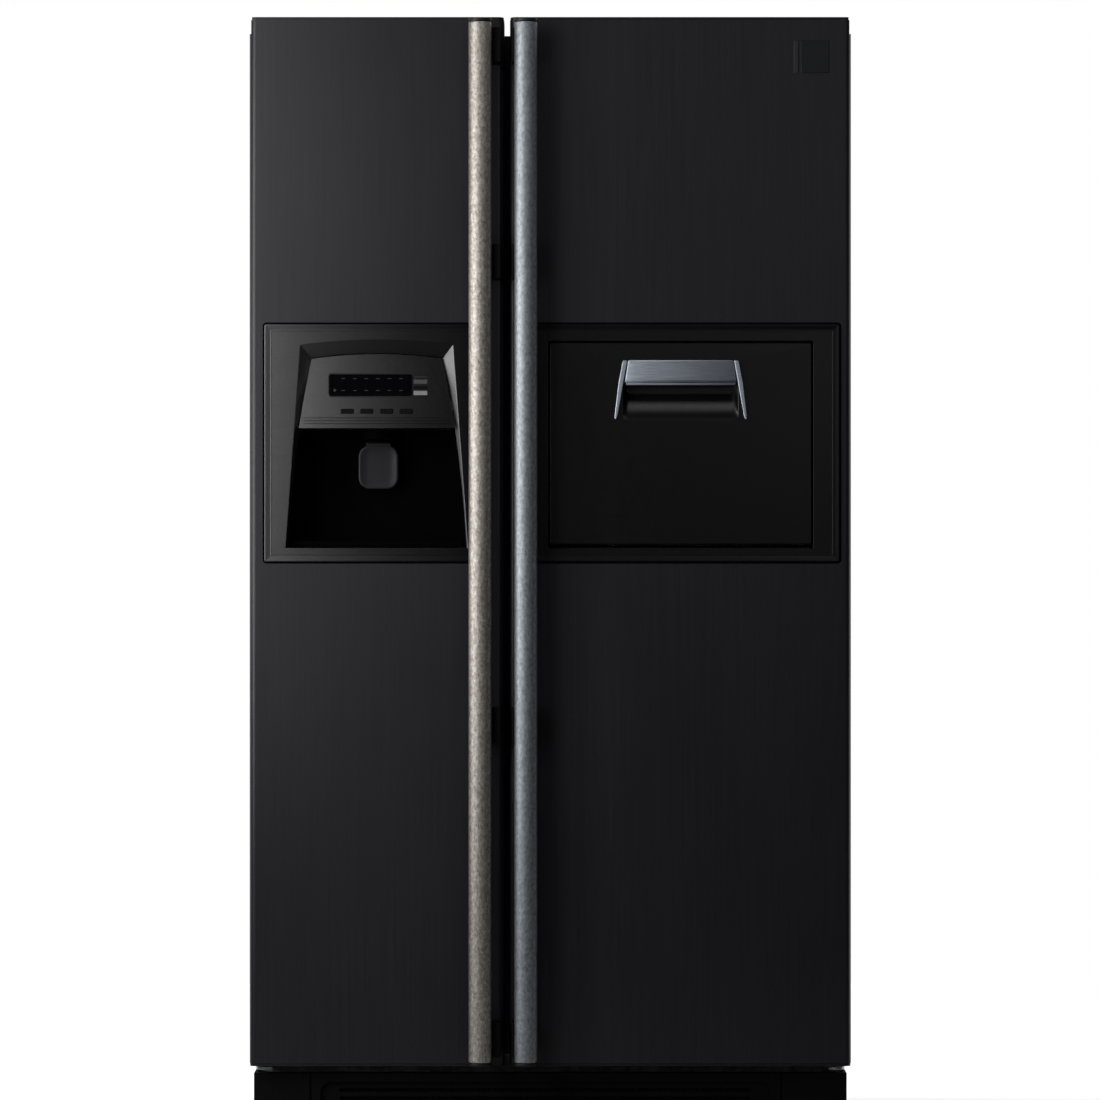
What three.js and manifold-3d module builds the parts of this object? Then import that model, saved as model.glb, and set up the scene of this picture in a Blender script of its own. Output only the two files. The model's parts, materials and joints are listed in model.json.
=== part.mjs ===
// Side by side refrigerator: a narrow freezer door with an ice and water dispenser on the left and a wide
// fridge door with a fold-down home bar on the right, both with full-height bar handles.
// Millimetres, +Z up, the front faces -Y, the origin is on the floor under the middle of the outer box.
import * as THREE from "three";
import { mergeVertices } from "three/addons/utils/BufferGeometryUtils.js";
import Module from "manifold-3d";

const wasm = await Module();
wasm.setup();

// ---- Driving dimensions -----------------------------------------------------------------------------
const WIDTH = 940;
const DEPTH = 760;
const FRONT_Y = -DEPTH / 2; // front of the handles
const REAR_Y = DEPTH / 2; // back of the cabinet
const CLEAR = 0.3; // gap between pieces that touch
const SHEET = 2; // moulded plastic liners

const HANDLE_REACH = 58; // handle front to door front
const DOOR_THICK = 75;
const DOOR_FRONT_Y = FRONT_Y + HANDLE_REACH;
const DOOR_REAR_Y = DOOR_FRONT_Y + DOOR_THICK;
const GASKET_THICK = 12;
const CABINET_FRONT_Y = DOOR_REAR_Y + GASKET_THICK;
const DOOR_BOTTOM_Z = 112;
const DOOR_TOP_Z = 1750;
const DOOR_GAP = 9;
const SPLIT_X = -67.5; // middle of the gap between the doors
const CAP_HEIGHT = 4; // plastic door caps, top and bottom

const CABINET_HALF_WIDTH = 467;
const CABINET_BOTTOM_Z = 120;
const CABINET_TOP_Z = 1732;
const WALL = 48; // insulated side walls
const SLAB = 52; // insulated top and floor
const MULLION_THICK = 50;
const STEP_Y = 135; // the floor rises here over the machine compartment
const STEP_RISE = 150;

const HINGE_INSET_X = 22; // hinge axis from the door's outer edge
const HINGE_INSET_Y = 38; // hinge axis from the door's rear face
const HINGE_X = WIDTH / 2 - HINGE_INSET_X;
const HINGE_Y = DOOR_REAR_Y - HINGE_INSET_Y;
const PIN_RADIUS = 4;
const POCKET_Z = 1724; // floor of the recess in each door top that takes the hinge arm

const FACE_BOTTOM_Z = 900; // the dispenser surround and the home bar surround share these heights
const FACE_TOP_Z = 1270;

// ---- Materials --------------------------------------------------------------------------------------
const material = (color, roughness, metalness, opacity = 1) =>
  new THREE.MeshStandardMaterial({ color, roughness, metalness, opacity, transparent: opacity < 1 });
const BLACK_STEEL = material(0x1c1c1f, 0.28, 0.3);
const BLACK_PLASTIC = material(0x0d0d0e, 0.45, 0);
const CHARCOAL = material(0x2a2a2d, 0.5, 0.1);
const SATIN_METAL = material(0xb4b2ae, 0.34, 1);
const BRIGHT_TRIM = material(0xa9adb6, 0.25, 1);
const SILVER_PLASTIC = material(0x4c4c50, 0.4, 0.5);
const CABINET_PAINT = material(0x1a1a1c, 0.5, 0.2);
const LINER_WHITE = material(0xe9eaea, 0.4, 0);
const GASKET_GREY = material(0x55565a, 0.7, 0);
const ZINC = material(0x9b9da0, 0.45, 0.9);
const CLEAR_PLASTIC = material(0xcfe0e8, 0.12, 0, 0.4);
const RUBBER = material(0x151515, 0.8, 0);

// ---- Solids -----------------------------------------------------------------------------------------
function solid(geometry) {
  const bare = geometry.index ? geometry.toNonIndexed() : geometry.clone();
  bare.deleteAttribute("normal");
  bare.deleteAttribute("uv");
  const merged = mergeVertices(bare, 1e-3);
  return new wasm.Manifold(
    new wasm.Mesh({
      numProp: 3,
      vertProperties: merged.attributes.position.array,
      triVerts: new Uint32Array(merged.index.array),
    }),
  );
}

function geometryOf(body) {
  const mesh = body.getMesh();
  const geometry = new THREE.BufferGeometry();
  geometry.setAttribute("position", new THREE.BufferAttribute(mesh.vertProperties, 3));
  geometry.setIndex(new THREE.BufferAttribute(mesh.triVerts, 1));
  geometry.computeVertexNormals();
  return geometry;
}

const join = (first, ...rest) => rest.reduce((body, other) => body.add(other), first);
const cut = (first, ...rest) => rest.reduce((body, other) => body.subtract(other), first);

function box([x0, x1], [y0, y1], [z0, z1]) {
  const geometry = new THREE.BoxGeometry(x1 - x0, y1 - y0, z1 - z0);
  return solid(geometry.translate((x0 + x1) / 2, (y0 + y1) / 2, (z0 + z1) / 2));
}

// A cylinder along "x", "y" or "z", from a to b on that axis; the centre gives the other two coordinates.
function rod(axis, radius, [a, b], centre, sides = 24) {
  const geometry = new THREE.CylinderGeometry(radius, radius, b - a, sides);
  if (axis === "x") geometry.rotateZ(-Math.PI / 2).translate((a + b) / 2, centre[0], centre[1]);
  if (axis === "y") geometry.translate(centre[0], (a + b) / 2, centre[1]);
  if (axis === "z") geometry.rotateX(Math.PI / 2).translate(centre[0], centre[1], (a + b) / 2);
  return solid(geometry);
}

const extrude = (shape, depth, curveSegments) =>
  new THREE.ExtrudeGeometry(shape, { depth, steps: 1, bevelEnabled: false, curveSegments });

// Plan outline (x, y) raised from z0 to z1.
const extrudeZ = (shape, [z0, z1], segments = 6) =>
  solid(extrude(shape, z1 - z0, segments).translate(0, 0, z0));

// Front outline (x, z) from y0 back to y1.
const extrudeY = (shape, [y0, y1], segments = 6) =>
  solid(extrude(shape, y1 - y0, segments).rotateX(Math.PI / 2).translate(0, y1, 0));

// Side outline (y, z) from x0 across to x1.
const TO_SIDE = new THREE.Matrix4().makeBasis(
  new THREE.Vector3(0, 1, 0),
  new THREE.Vector3(0, 0, 1),
  new THREE.Vector3(1, 0, 0),
);
const extrudeX = (shape, [x0, x1], segments = 6) =>
  solid(extrude(shape, x1 - x0, segments).applyMatrix4(TO_SIDE).translate(x0, 0, 0));

function outline(points) {
  return new THREE.Shape(points.map(([a, b]) => new THREE.Vector2(a, b)));
}

// Rectangle with one corner radius for its low-b side and one for its high-b side.
function roundedRect([a0, a1], [b0, b1], lowRadius, highRadius = lowRadius) {
  const shape = new THREE.Shape();
  shape.moveTo(a0 + lowRadius, b0);
  shape.lineTo(a1 - lowRadius, b0);
  shape.absarc(a1 - lowRadius, b0 + lowRadius, lowRadius, -Math.PI / 2, 0, false);
  shape.lineTo(a1, b1 - highRadius);
  shape.absarc(a1 - highRadius, b1 - highRadius, highRadius, 0, Math.PI / 2, false);
  shape.lineTo(a0 + highRadius, b1);
  shape.absarc(a0 + highRadius, b1 - highRadius, highRadius, Math.PI / 2, Math.PI, false);
  shape.lineTo(a0, b0 + lowRadius);
  shape.absarc(a0 + lowRadius, b0 + lowRadius, lowRadius, Math.PI, 1.5 * Math.PI, false);
  return shape;
}

const root = new THREE.Group();

function add(name, body, look, position = [0, 0, 0], parent = root) {
  const mesh = new THREE.Mesh(geometryOf(body), look);
  mesh.name = name;
  mesh.position.set(...position);
  parent.add(mesh);
  return mesh;
}

// An open-topped tub of moulded plastic, its low corner at the origin.
function tub(width, depth, height, wall) {
  const outer = box([0, width], [0, depth], [0, height]);
  return cut(outer, box([wall, width - wall], [wall, depth - wall], [wall, height + wall]));
}

const mirrored = [
  { side: "left", sign: -1 },
  { side: "right", sign: 1 },
];

// ---- Cabinet ----------------------------------------------------------------------------------------
const FLOOR_TOP_Z = CABINET_BOTTOM_Z + SLAB;
const CEILING_Z = CABINET_TOP_Z - SLAB;
const REAR_WALL_Y = REAR_Y - WALL;
const INNER_X = CABINET_HALF_WIDTH - WALL;
const MULLION_LEFT_X = SPLIT_X - MULLION_THICK / 2;
const MULLION_RIGHT_X = SPLIT_X + MULLION_THICK / 2;

// Side outline of the space over the stepped floor, shrunk by a margin on every side but the front.
function compartmentOutline(frontY, margin) {
  return outline([
    [frontY, FLOOR_TOP_Z + margin],
    [STEP_Y - margin, FLOOR_TOP_Z + margin],
    [STEP_Y - margin, FLOOR_TOP_Z + STEP_RISE + margin],
    [REAR_WALL_Y - margin, FLOOR_TOP_Z + STEP_RISE + margin],
    [REAR_WALL_Y - margin, CEILING_Z - margin],
    [frontY, CEILING_Z - margin],
  ]);
}

function buildCabinet() {
  const depth = [CABINET_FRONT_Y, REAR_Y];
  const across = [-INNER_X + CLEAR, INNER_X - CLEAR];
  for (const { side, sign } of mirrored) {
    const xs = [sign * INNER_X, sign * CABINET_HALF_WIDTH].sort((a, b) => a - b);
    const wall = box(xs, depth, [CABINET_BOTTOM_Z, CABINET_TOP_Z]);
    add("cabinet_" + side + "_wall", wall, CABINET_PAINT);
  }
  add("cabinet_top_wall", box(across, depth, [CEILING_Z, CABINET_TOP_Z]), CABINET_PAINT);
  const rearZ = [FLOOR_TOP_Z + STEP_RISE + CLEAR, CEILING_Z - CLEAR];
  add("cabinet_rear_wall", box(across, [REAR_WALL_Y, REAR_Y], rearZ), CABINET_PAINT);
  const floor = outline([
    [CABINET_FRONT_Y, CABINET_BOTTOM_Z],
    [STEP_Y + SLAB, CABINET_BOTTOM_Z],
    [STEP_Y + SLAB, CABINET_BOTTOM_Z + STEP_RISE],
    [REAR_Y, CABINET_BOTTOM_Z + STEP_RISE],
    [REAR_Y, FLOOR_TOP_Z + STEP_RISE],
    [STEP_Y, FLOOR_TOP_Z + STEP_RISE],
    [STEP_Y, FLOOR_TOP_Z],
    [CABINET_FRONT_Y, FLOOR_TOP_Z],
  ]);
  add("cabinet_floor", extrudeX(floor, across), CABINET_PAINT);
  const mullion = extrudeX(compartmentOutline(CABINET_FRONT_Y, CLEAR), [MULLION_LEFT_X, MULLION_RIGHT_X]);
  add("cabinet_mullion", mullion, CABINET_PAINT);
  addLiner("freezer_liner", -INNER_X + CLEAR, MULLION_LEFT_X - CLEAR);
  addLiner("fridge_liner", MULLION_RIGHT_X + CLEAR, INNER_X - CLEAR);
}

// A one-piece moulded tub that lines a compartment, open to the front.
function addLiner(name, x0, x1) {
  const front = CABINET_FRONT_Y + 1;
  const outer = extrudeX(compartmentOutline(front, CLEAR), [x0, x1]);
  const inner = extrudeX(compartmentOutline(front - 1, CLEAR + SHEET), [x0 + SHEET, x1 - SHEET]);
  add(name, cut(outer, inner), LINER_WHITE);
}

// ---- Base: chassis, feet, rollers, compressor, covers ------------------------------------------------
const CHASSIS_BOTTOM_Z = 60;
const CHASSIS_FRONT_Y = -200;
const CHASSIS_REAR_Y = 360;
const RAIL_WIDTH = 26;
const RAIL_X = CABINET_HALF_WIDTH - RAIL_WIDTH;
const ROLLER_RADIUS = 22;
const ROLLER_Y = 300;
const MACHINE_FRONT_Y = STEP_Y + SLAB + 10;

function buildBase() {
  const railZ = [CHASSIS_BOTTOM_Z, CABINET_BOTTOM_Z - CLEAR];
  const pieces = [
    box([-RAIL_X, RAIL_X], [CHASSIS_FRONT_Y, CHASSIS_FRONT_Y + 20], railZ),
    box([-RAIL_X, RAIL_X], [MACHINE_FRONT_Y, CHASSIS_REAR_Y], [CHASSIS_BOTTOM_Z, CHASSIS_BOTTOM_Z + 4]),
  ];
  for (const { sign } of mirrored) {
    const rail = [sign * RAIL_X, sign * CABINET_HALF_WIDTH].sort((a, b) => a - b);
    pieces.push(box(rail, [CHASSIS_FRONT_Y, CHASSIS_REAR_Y], railZ));
    const plate = [sign * RAIL_X, sign * (RAIL_X + 3)].sort((a, b) => a - b);
    pieces.push(box(plate, [ROLLER_Y - 15, ROLLER_Y + 15], [12, CHASSIS_BOTTOM_Z + 1]));
    const axle = [sign * RAIL_X, sign * (CABINET_HALF_WIDTH - 2)].sort((a, b) => a - b);
    pieces.push(rod("x", PIN_RADIUS, axle, [ROLLER_Y, ROLLER_RADIUS], 12));
  }
  add("base_chassis", join(...pieces), ZINC);

  for (const { side, sign } of mirrored) {
    const foot = join(rod("z", 18, [0, 14], [0, 0]), rod("z", 7, [13, CHASSIS_BOTTOM_Z - CLEAR], [0, 0], 12));
    add("levelling_foot_" + side, foot, RUBBER, [sign * (CABINET_HALF_WIDTH - 19), -150, 0]);
    const tread = rod("x", ROLLER_RADIUS, [-8, 8], [0, 0], 32);
    const roller = cut(tread, rod("x", PIN_RADIUS + 0.6, [-9, 9], [0, 0], 16));
    const x = sign * (RAIL_X + 13);
    add("rear_roller_" + side, roller, RUBBER, [x, ROLLER_Y, ROLLER_RADIUS]);
  }

  // The compressor: a domed steel can on a square foot plate.
  const can = new THREE.LatheGeometry(
    outline([
      [0, 0],
      [66, 0],
      [76, 14],
      [79, 60],
      [79, 95],
      [70, 128],
      [42, 146],
      [0, 152],
    ]).getPoints(),
    28,
  ).rotateX(Math.PI / 2);
  const plate = box([-90, 90], [-76, 76], [-6, 1]);
  const middleY = (MACHINE_FRONT_Y + CHASSIS_REAR_Y) / 2;
  add("compressor", join(solid(can), plate), BLACK_PLASTIC, [-230, middleY, CHASSIS_BOTTOM_Z + 10.3]);

  // Vented cover over the machine compartment, with the cord's strain relief beside its vents.
  const coverX = INNER_X - 2;
  const coverZ = [CHASSIS_BOTTOM_Z + 6, CABINET_BOTTOM_Z + STEP_RISE - 1];
  const coverY = [CHASSIS_REAR_Y + CLEAR, CHASSIS_REAR_Y + 3];
  const slots = [];
  for (let row = 0; row < 5; row += 1) {
    for (let column = 0; column < 4; column += 1) {
      const x = -360 + column * 160;
      const z = coverZ[0] + 40 + row * 28;
      slots.push(box([x, x + 110], [coverY[0] - 1, coverY[1] + 1], [z, z + 8]));
    }
  }
  const glandX = 330;
  const glandZ = 170;
  const glandHole = rod("y", 10, [coverY[0] - 1, coverY[1] + 1], [glandX, glandZ], 16);
  add("compressor_cover", cut(box([-coverX, coverX], coverY, coverZ), ...slots, glandHole), ZINC);
  const gland = cut(
    join(
      rod("y", 9.5, [coverY[0] - 6, coverY[1] + 2], [glandX, glandZ], 16),
      rod("y", 13, [coverY[1] + CLEAR, coverY[1] + 4], [glandX, glandZ], 16),
      rod("y", 8, [coverY[1] + 3, coverY[1] + 14], [glandX, glandZ], 16),
    ),
    rod("y", 4, [coverY[0] - 8, coverY[1] + 16], [glandX, glandZ], 12),
  );
  add("cord_gland", gland, RUBBER);

  buildKickplate();
}

const KICK_TOP_Z = 98;
const KICK_BOTTOM_Z = 24;
const KICK_FRONT_Y = -292;

// The kickplate closes the front under the doors: a recessed toe grille between two leg covers.
function buildKickplate() {
  const half = CABINET_HALF_WIDTH - 2;
  const skin = [KICK_FRONT_Y, KICK_FRONT_Y + 14];
  const plate = box([-half, half], skin, [KICK_BOTTOM_Z, KICK_TOP_Z]);
  const recess = roundedRect([-360, 346], [KICK_BOTTOM_Z + 8, KICK_TOP_Z - 15], 16);
  const grille = [];
  for (let row = 0; row < 3; row += 1) {
    const z = KICK_BOTTOM_Z + 17 + row * 13;
    grille.push(box([-330, 316], [skin[0] - 1, skin[1] + 1], [z, z + 5]));
  }
  const returns = mirrored.map(({ sign }) => {
    const xs = [sign * half, sign * (half - 4)].sort((a, b) => a - b);
    return box(xs, [skin[1] - 1, CHASSIS_FRONT_Y - CLEAR], [KICK_BOTTOM_Z, KICK_TOP_Z]);
  });
  const seams = [-377, 362].map((x) => box([x, x + 2], [skin[0] - 1, skin[0] + 3], [0, KICK_TOP_Z + 1]));
  const pocket = extrudeY(recess, [skin[0] - 1, skin[0] + 8]);
  add("kickplate", cut(join(plate, ...returns), pocket, ...grille, ...seams), BLACK_PLASTIC);
}

// ---- Hinges -----------------------------------------------------------------------------------------
const ARM_HALF_WIDTH = 14;
const ARM_THICK = 4;
const ARM_Z = CABINET_TOP_Z + CLEAR;

// Built round the axis at the origin, the cabinet behind it at +y: slim over the door, then wider inwards.
function armOutline(rearY, rearHalfWidth) {
  const widening = CABINET_FRONT_Y - HINGE_Y + 20;
  const shape = new THREE.Shape();
  shape.absarc(0, 0, ARM_HALF_WIDTH, Math.PI, 2 * Math.PI, false);
  shape.lineTo(ARM_HALF_WIDTH, widening);
  shape.lineTo(rearHalfWidth, widening + 8);
  shape.lineTo(rearHalfWidth, rearY);
  shape.lineTo(-ARM_HALF_WIDTH, rearY);
  return shape;
}

function buildHinges() {
  const front = CABINET_FRONT_Y - HINGE_Y;
  for (const { side, sign } of mirrored) {
    const hinge = new THREE.Group();
    hinge.position.set(sign * HINGE_X, HINGE_Y, 0);
    hinge.scale.x = -sign;
    root.add(hinge);

    const topPlate = extrudeZ(armOutline(front + 110, 26), [ARM_Z, ARM_Z + ARM_THICK], 8);
    const topPin = rod("z", PIN_RADIUS, [POCKET_Z - 20, ARM_Z + 1], [0, 0], 16);
    add("top_hinge_" + side, join(topPlate, topPin), ZINC, [0, 0, 0], hinge);

    // Plastic cover: low over the arm, higher over the plate and its wiring.
    const lowTop = DOOR_TOP_Z - 4;
    const highTop = DOOR_TOP_Z + 8;
    const shell = join(
      extrudeZ(roundedRect([-16, 16], [front + 2, front + 24], 3), [ARM_Z, lowTop]),
      extrudeZ(roundedRect([-18, 70], [front + 16, front + 150], 8), [ARM_Z, highTop]),
    );
    const room = join(
      box([-15, 15], [front, front + 30], [0, ARM_Z + ARM_THICK + CLEAR]),
      box([-19 + SHEET + 0.5, 70 - SHEET], [front + 18, front + 148], [0, highTop - SHEET]),
    );
    add("hinge_cover_" + side, cut(shell, room), BLACK_PLASTIC, [0, 0, 0], hinge);

    const lowZ = [DOOR_BOTTOM_Z - 9, DOOR_BOTTOM_Z - 4];
    const tongue = extrudeZ(armOutline(CHASSIS_FRONT_Y - CLEAR - HINGE_Y, 18), lowZ, 8);
    const flange = box(
      [-10, 18],
      [CHASSIS_FRONT_Y - 4 - HINGE_Y, CHASSIS_FRONT_Y - CLEAR - HINGE_Y],
      [CHASSIS_BOTTOM_Z + 4, lowZ[1]],
    );
    const lowPin = rod("z", PIN_RADIUS, [lowZ[0], DOOR_BOTTOM_Z + 24], [0, 0], 16);
    add("bottom_hinge_" + side, join(tongue, flange, lowPin), ZINC, [0, 0, 0], hinge);
  }
}

// ---- Doors ------------------------------------------------------------------------------------------
const EDGE_RADIUS = 10; // front vertical edges of a door
const FREEZER_DOOR = { name: "freezer", x: [-WIDTH / 2, SPLIT_X - DOOR_GAP / 2], hingeSign: -1 };
const FRIDGE_DOOR = { name: "fridge", x: [SPLIT_X + DOOR_GAP / 2, WIDTH / 2], hingeSign: 1 };
const GASKET_WIDTH = 20;
const BIN_REACH = 112; // how far a door bin reaches into the cabinet
const LINER_EDGE = 30; // hinge side edge of a door to the edge of its gasket
const LATCH_EDGE = 14; // and the same on the latch side
const RIDGE_WIDTH = 28;

// What the hinges need out of a door: the arm's recess in the top and a pin hole at each end.
function hingeCuts(door) {
  const hingeX = door.hingeSign * HINGE_X;
  const outer = door.hingeSign * (WIDTH / 2 + 1);
  const inner = door.hingeSign * (WIDTH / 2 - 70);
  const xs = [outer, inner].sort((a, b) => a - b);
  return [
    box(xs, [DOOR_FRONT_Y + 3, DOOR_REAR_Y + 1], [POCKET_Z, DOOR_TOP_Z + 1]),
    rod("z", PIN_RADIUS + 0.8, [POCKET_Z - 24, POCKET_Z + 1], [hingeX, HINGE_Y], 16),
    rod("z", PIN_RADIUS + 0.8, [DOOR_BOTTOM_Z - 1, DOOR_BOTTOM_Z + 28], [hingeX, HINGE_Y], 16),
  ];
}

function doorSlab(door, [z0, z1], shrink = 0) {
  const xs = [door.x[0] + shrink, door.x[1] - shrink];
  return extrudeZ(roundedRect(xs, [DOOR_FRONT_Y + shrink, DOOR_REAR_Y], EDGE_RADIUS, 3), [z0, z1]);
}

// Gasket span on the back of a door: clear of the hinge axis on one side, of the cabinet edge on the others.
function gasketSpan(door) {
  const edges = door.hingeSign < 0 ? [LINER_EDGE, LATCH_EDGE] : [LATCH_EDGE, LINER_EDGE];
  return { x: [door.x[0] + edges[0], door.x[1] - edges[1]], z: [DOOR_BOTTOM_Z + 20, DOOR_TOP_Z - 32] };
}

function buildDoorShell(door, openings) {
  const cuts = hingeCuts(door);
  const panelZ = [DOOR_BOTTOM_Z + CAP_HEIGHT + CLEAR, DOOR_TOP_Z - CAP_HEIGHT - CLEAR];
  add(door.name + "_door_panel", cut(doorSlab(door, panelZ), ...cuts, ...openings), BLACK_STEEL);
  const topCap = doorSlab(door, [DOOR_TOP_Z - CAP_HEIGHT, DOOR_TOP_Z], 0.6);
  add(door.name + "_door_top_cap", cut(topCap, ...cuts), BLACK_PLASTIC);
  const bottomCap = doorSlab(door, [DOOR_BOTTOM_Z, DOOR_BOTTOM_Z + CAP_HEIGHT], 0.6);
  add(door.name + "_door_bottom_cap", cut(bottomCap, ...cuts), BLACK_PLASTIC);

  const span = gasketSpan(door);
  const ys = [DOOR_REAR_Y + CLEAR, CABINET_FRONT_Y - CLEAR];
  const hole = [
    [span.x[0] + GASKET_WIDTH, span.x[1] - GASKET_WIDTH],
    [span.z[0] + GASKET_WIDTH, span.z[1] - GASKET_WIDTH],
  ];
  const ring = cut(box(span.x, ys, span.z), box(hole[0], [ys[0] - 1, ys[1] + 1], hole[1]));
  add(door.name + "_door_gasket", ring, GASKET_GREY);
}

// The moulded inner face of a door: a flat plate with a ridge down each side to hold the bins.
// The latch side ridge stands in from the edge, so that it clears the cabinet as the door swings.
function doorLiner(door) {
  const span = gasketSpan(door);
  const inset = GASKET_WIDTH + 1;
  const xs = [span.x[0] + inset, span.x[1] - inset];
  const zs = [span.z[0] + inset, span.z[1] - inset];
  const plateY = [DOOR_REAR_Y + CLEAR, DOOR_REAR_Y + 10];
  const ridgeY = [DOOR_REAR_Y + 9, CABINET_FRONT_Y + 40];
  const ridgeZ = [FLOOR_TOP_Z + 14, CEILING_Z - 14];
  const stand = door.hingeSign < 0 ? [8, 14] : [14, 8];
  const ridges = [
    [xs[0] + stand[0], xs[0] + stand[0] + RIDGE_WIDTH],
    [xs[1] - stand[1] - RIDGE_WIDTH, xs[1] - stand[1]],
  ];
  const body = join(box(xs, plateY, zs), ...ridges.map((x) => box(x, ridgeY, ridgeZ)));
  return { body, between: [ridges[0][1], ridges[1][0]], plateY: plateY[1] };
}

// A bin hung between the ridges, open at the top.
function addBin(name, liner, z, height) {
  const width = liner.between[1] - liner.between[0] - 2 * CLEAR;
  const depth = CABINET_FRONT_Y + BIN_REACH - liner.plateY - CLEAR;
  const shell = tub(width, depth, height, 3);
  add(name, shell, CLEAR_PLASTIC, [liner.between[0] + CLEAR, liner.plateY + CLEAR, z]);
}

// ---- Handles ----------------------------------------------------------------------------------------
const BAR_WIDTH = 36;
const BAR_DEPTH = 20;
const BAR_Z = [DOOR_BOTTOM_Z + 6, DOOR_TOP_Z - 8];
const RAIL_DEPTH = 6;
const POST_HEIGHT = 54;
const POST_Z = [158, 646, 1366, 1702];

function addHandle(door, barX, postX) {
  // Bar section: flat back and a full, slightly flattened round front.
  const section = new THREE.Shape();
  const middle = barX + BAR_WIDTH / 2;
  const shoulder = FRONT_Y + 13;
  section.moveTo(barX + BAR_WIDTH, shoulder);
  section.lineTo(barX + BAR_WIDTH - 2, FRONT_Y + BAR_DEPTH);
  section.lineTo(barX + 2, FRONT_Y + BAR_DEPTH);
  section.lineTo(barX, shoulder);
  section.absellipse(middle, shoulder, BAR_WIDTH / 2, 13, Math.PI, 2 * Math.PI, false, 0);
  add(door.name + "_handle_bar", extrudeZ(section, BAR_Z, 20), SATIN_METAL);

  const railY = [FRONT_Y + BAR_DEPTH + CLEAR, FRONT_Y + BAR_DEPTH + RAIL_DEPTH];
  const rail = box([barX + 6, barX + BAR_WIDTH - 6], railY, [BAR_Z[0] + 6, BAR_Z[1] - 6]);
  const posts = POST_Z.map((z) =>
    box(postX, [railY[0], DOOR_FRONT_Y - CLEAR], [z - POST_HEIGHT / 2, z + POST_HEIGHT / 2]),
  );
  add(door.name + "_handle_mount", join(rail, ...posts), BLACK_PLASTIC);
}

// ---- Ice and water dispenser ------------------------------------------------------------------------
const DISPENSER_X = -271;
const SURROUND_HALF_WIDTH = 175;
const SURROUND_PROUD = 1.5;
const NICHE_TOP_Z = 1107;
const NICHE_BOTTOM_Z = 921;
const ARCH_TOP_Z = 1218; // corners of the recess at its full depth; its mouth is higher by the brow
const ARCH_RISE = 8;
const BROW = 20;
const FLANK_DEPTH = 18; // the recess narrows from its mouth to this depth
const KEY = { width: 20, height: 7, pitch: 30.7, up: 27, travel: 1.5 };

// Half width of the recess at its full depth: it leans out towards the bottom, and less so as it goes.
function archInner(z) {
  const down = (ARCH_TOP_Z - z) / (ARCH_TOP_Z - NICHE_BOTTOM_Z);
  return 103 + 59 * down - 22 * down * down;
}

// Half width of its mouth, which leans out evenly, so the flank is broad at the top and thin at the bottom.
function archOuter(z) {
  const down = (ARCH_TOP_Z + BROW - z) / (ARCH_TOP_Z + BROW - NICHE_BOTTOM_Z);
  return 119 + 23 * down;
}

const widened = (profile, margin) => (z) => profile(z) + margin;

// Corners of a front outline between two heights, counter-clockwise from the lower left. The half width
// comes from a profile, and the top edge bows up by the rise.
function archPoints([z0, z1], profile, rise, middleX = DISPENSER_X) {
  const sideSteps = 6;
  const topSteps = 16;
  const points = [];
  for (let step = 0; step <= sideSteps; step += 1) {
    const z = z0 + ((z1 - z0) * step) / sideSteps;
    points.push(new THREE.Vector2(middleX + profile(z), z));
  }
  for (let step = 1; step < topSteps && rise; step += 1) {
    const across = 1 - (2 * step) / topSteps;
    points.push(new THREE.Vector2(middleX + across * profile(z1), z1 + rise * (1 - across * across)));
  }
  for (let step = sideSteps; step >= 0; step -= 1) {
    const z = z0 + ((z1 - z0) * step) / sideSteps;
    points.push(new THREE.Vector2(middleX - profile(z), z));
  }
  return points;
}

const archShape = (...args) => new THREE.Shape(archPoints(...args));

// Joins a convex front outline at y0 to one with as many corners at y1.
function loftY(front, y0, back, y1) {
  const count = front.length;
  const positions = [...front.map((p) => [p.x, y0, p.y]), ...back.map((p) => [p.x, y1, p.y])].flat();
  const indices = [];
  for (let i = 0; i < count; i += 1) {
    const next = (i + 1) % count;
    indices.push(i, count + i, count + next, i, count + next, next);
    if (i > 0 && i < count - 1) indices.push(0, i, i + 1, count, count + i + 1, count + i);
  }
  const geometry = new THREE.BufferGeometry();
  geometry.setAttribute("position", new THREE.Float32BufferAttribute(positions, 3));
  geometry.setIndex(indices);
  return solid(geometry);
}

const SURROUND_Y = [DOOR_FRONT_Y - SURROUND_PROUD, DOOR_FRONT_Y + FLANK_DEPTH + 2];
const NICHE_Y = [SURROUND_Y[1] + CLEAR, DOOR_REAR_Y + 14];

// The seat for the surround and the way through the door for the niche.
function dispenserOpening() {
  const surround = roundedRect(
    [DISPENSER_X - SURROUND_HALF_WIDTH - CLEAR, DISPENSER_X + SURROUND_HALF_WIDTH + CLEAR],
    [FACE_BOTTOM_Z - CLEAR, FACE_TOP_Z + CLEAR],
    3,
  );
  const seat = extrudeY(surround, [DOOR_FRONT_Y - 1, SURROUND_Y[1] + CLEAR]);
  const through = archShape([NICHE_BOTTOM_Z - 2, ARCH_TOP_Z + 1], widened(archInner, 2), ARCH_RISE);
  return join(seat, extrudeY(through, [DOOR_FRONT_Y, DOOR_REAR_Y + 1]));
}

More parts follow.
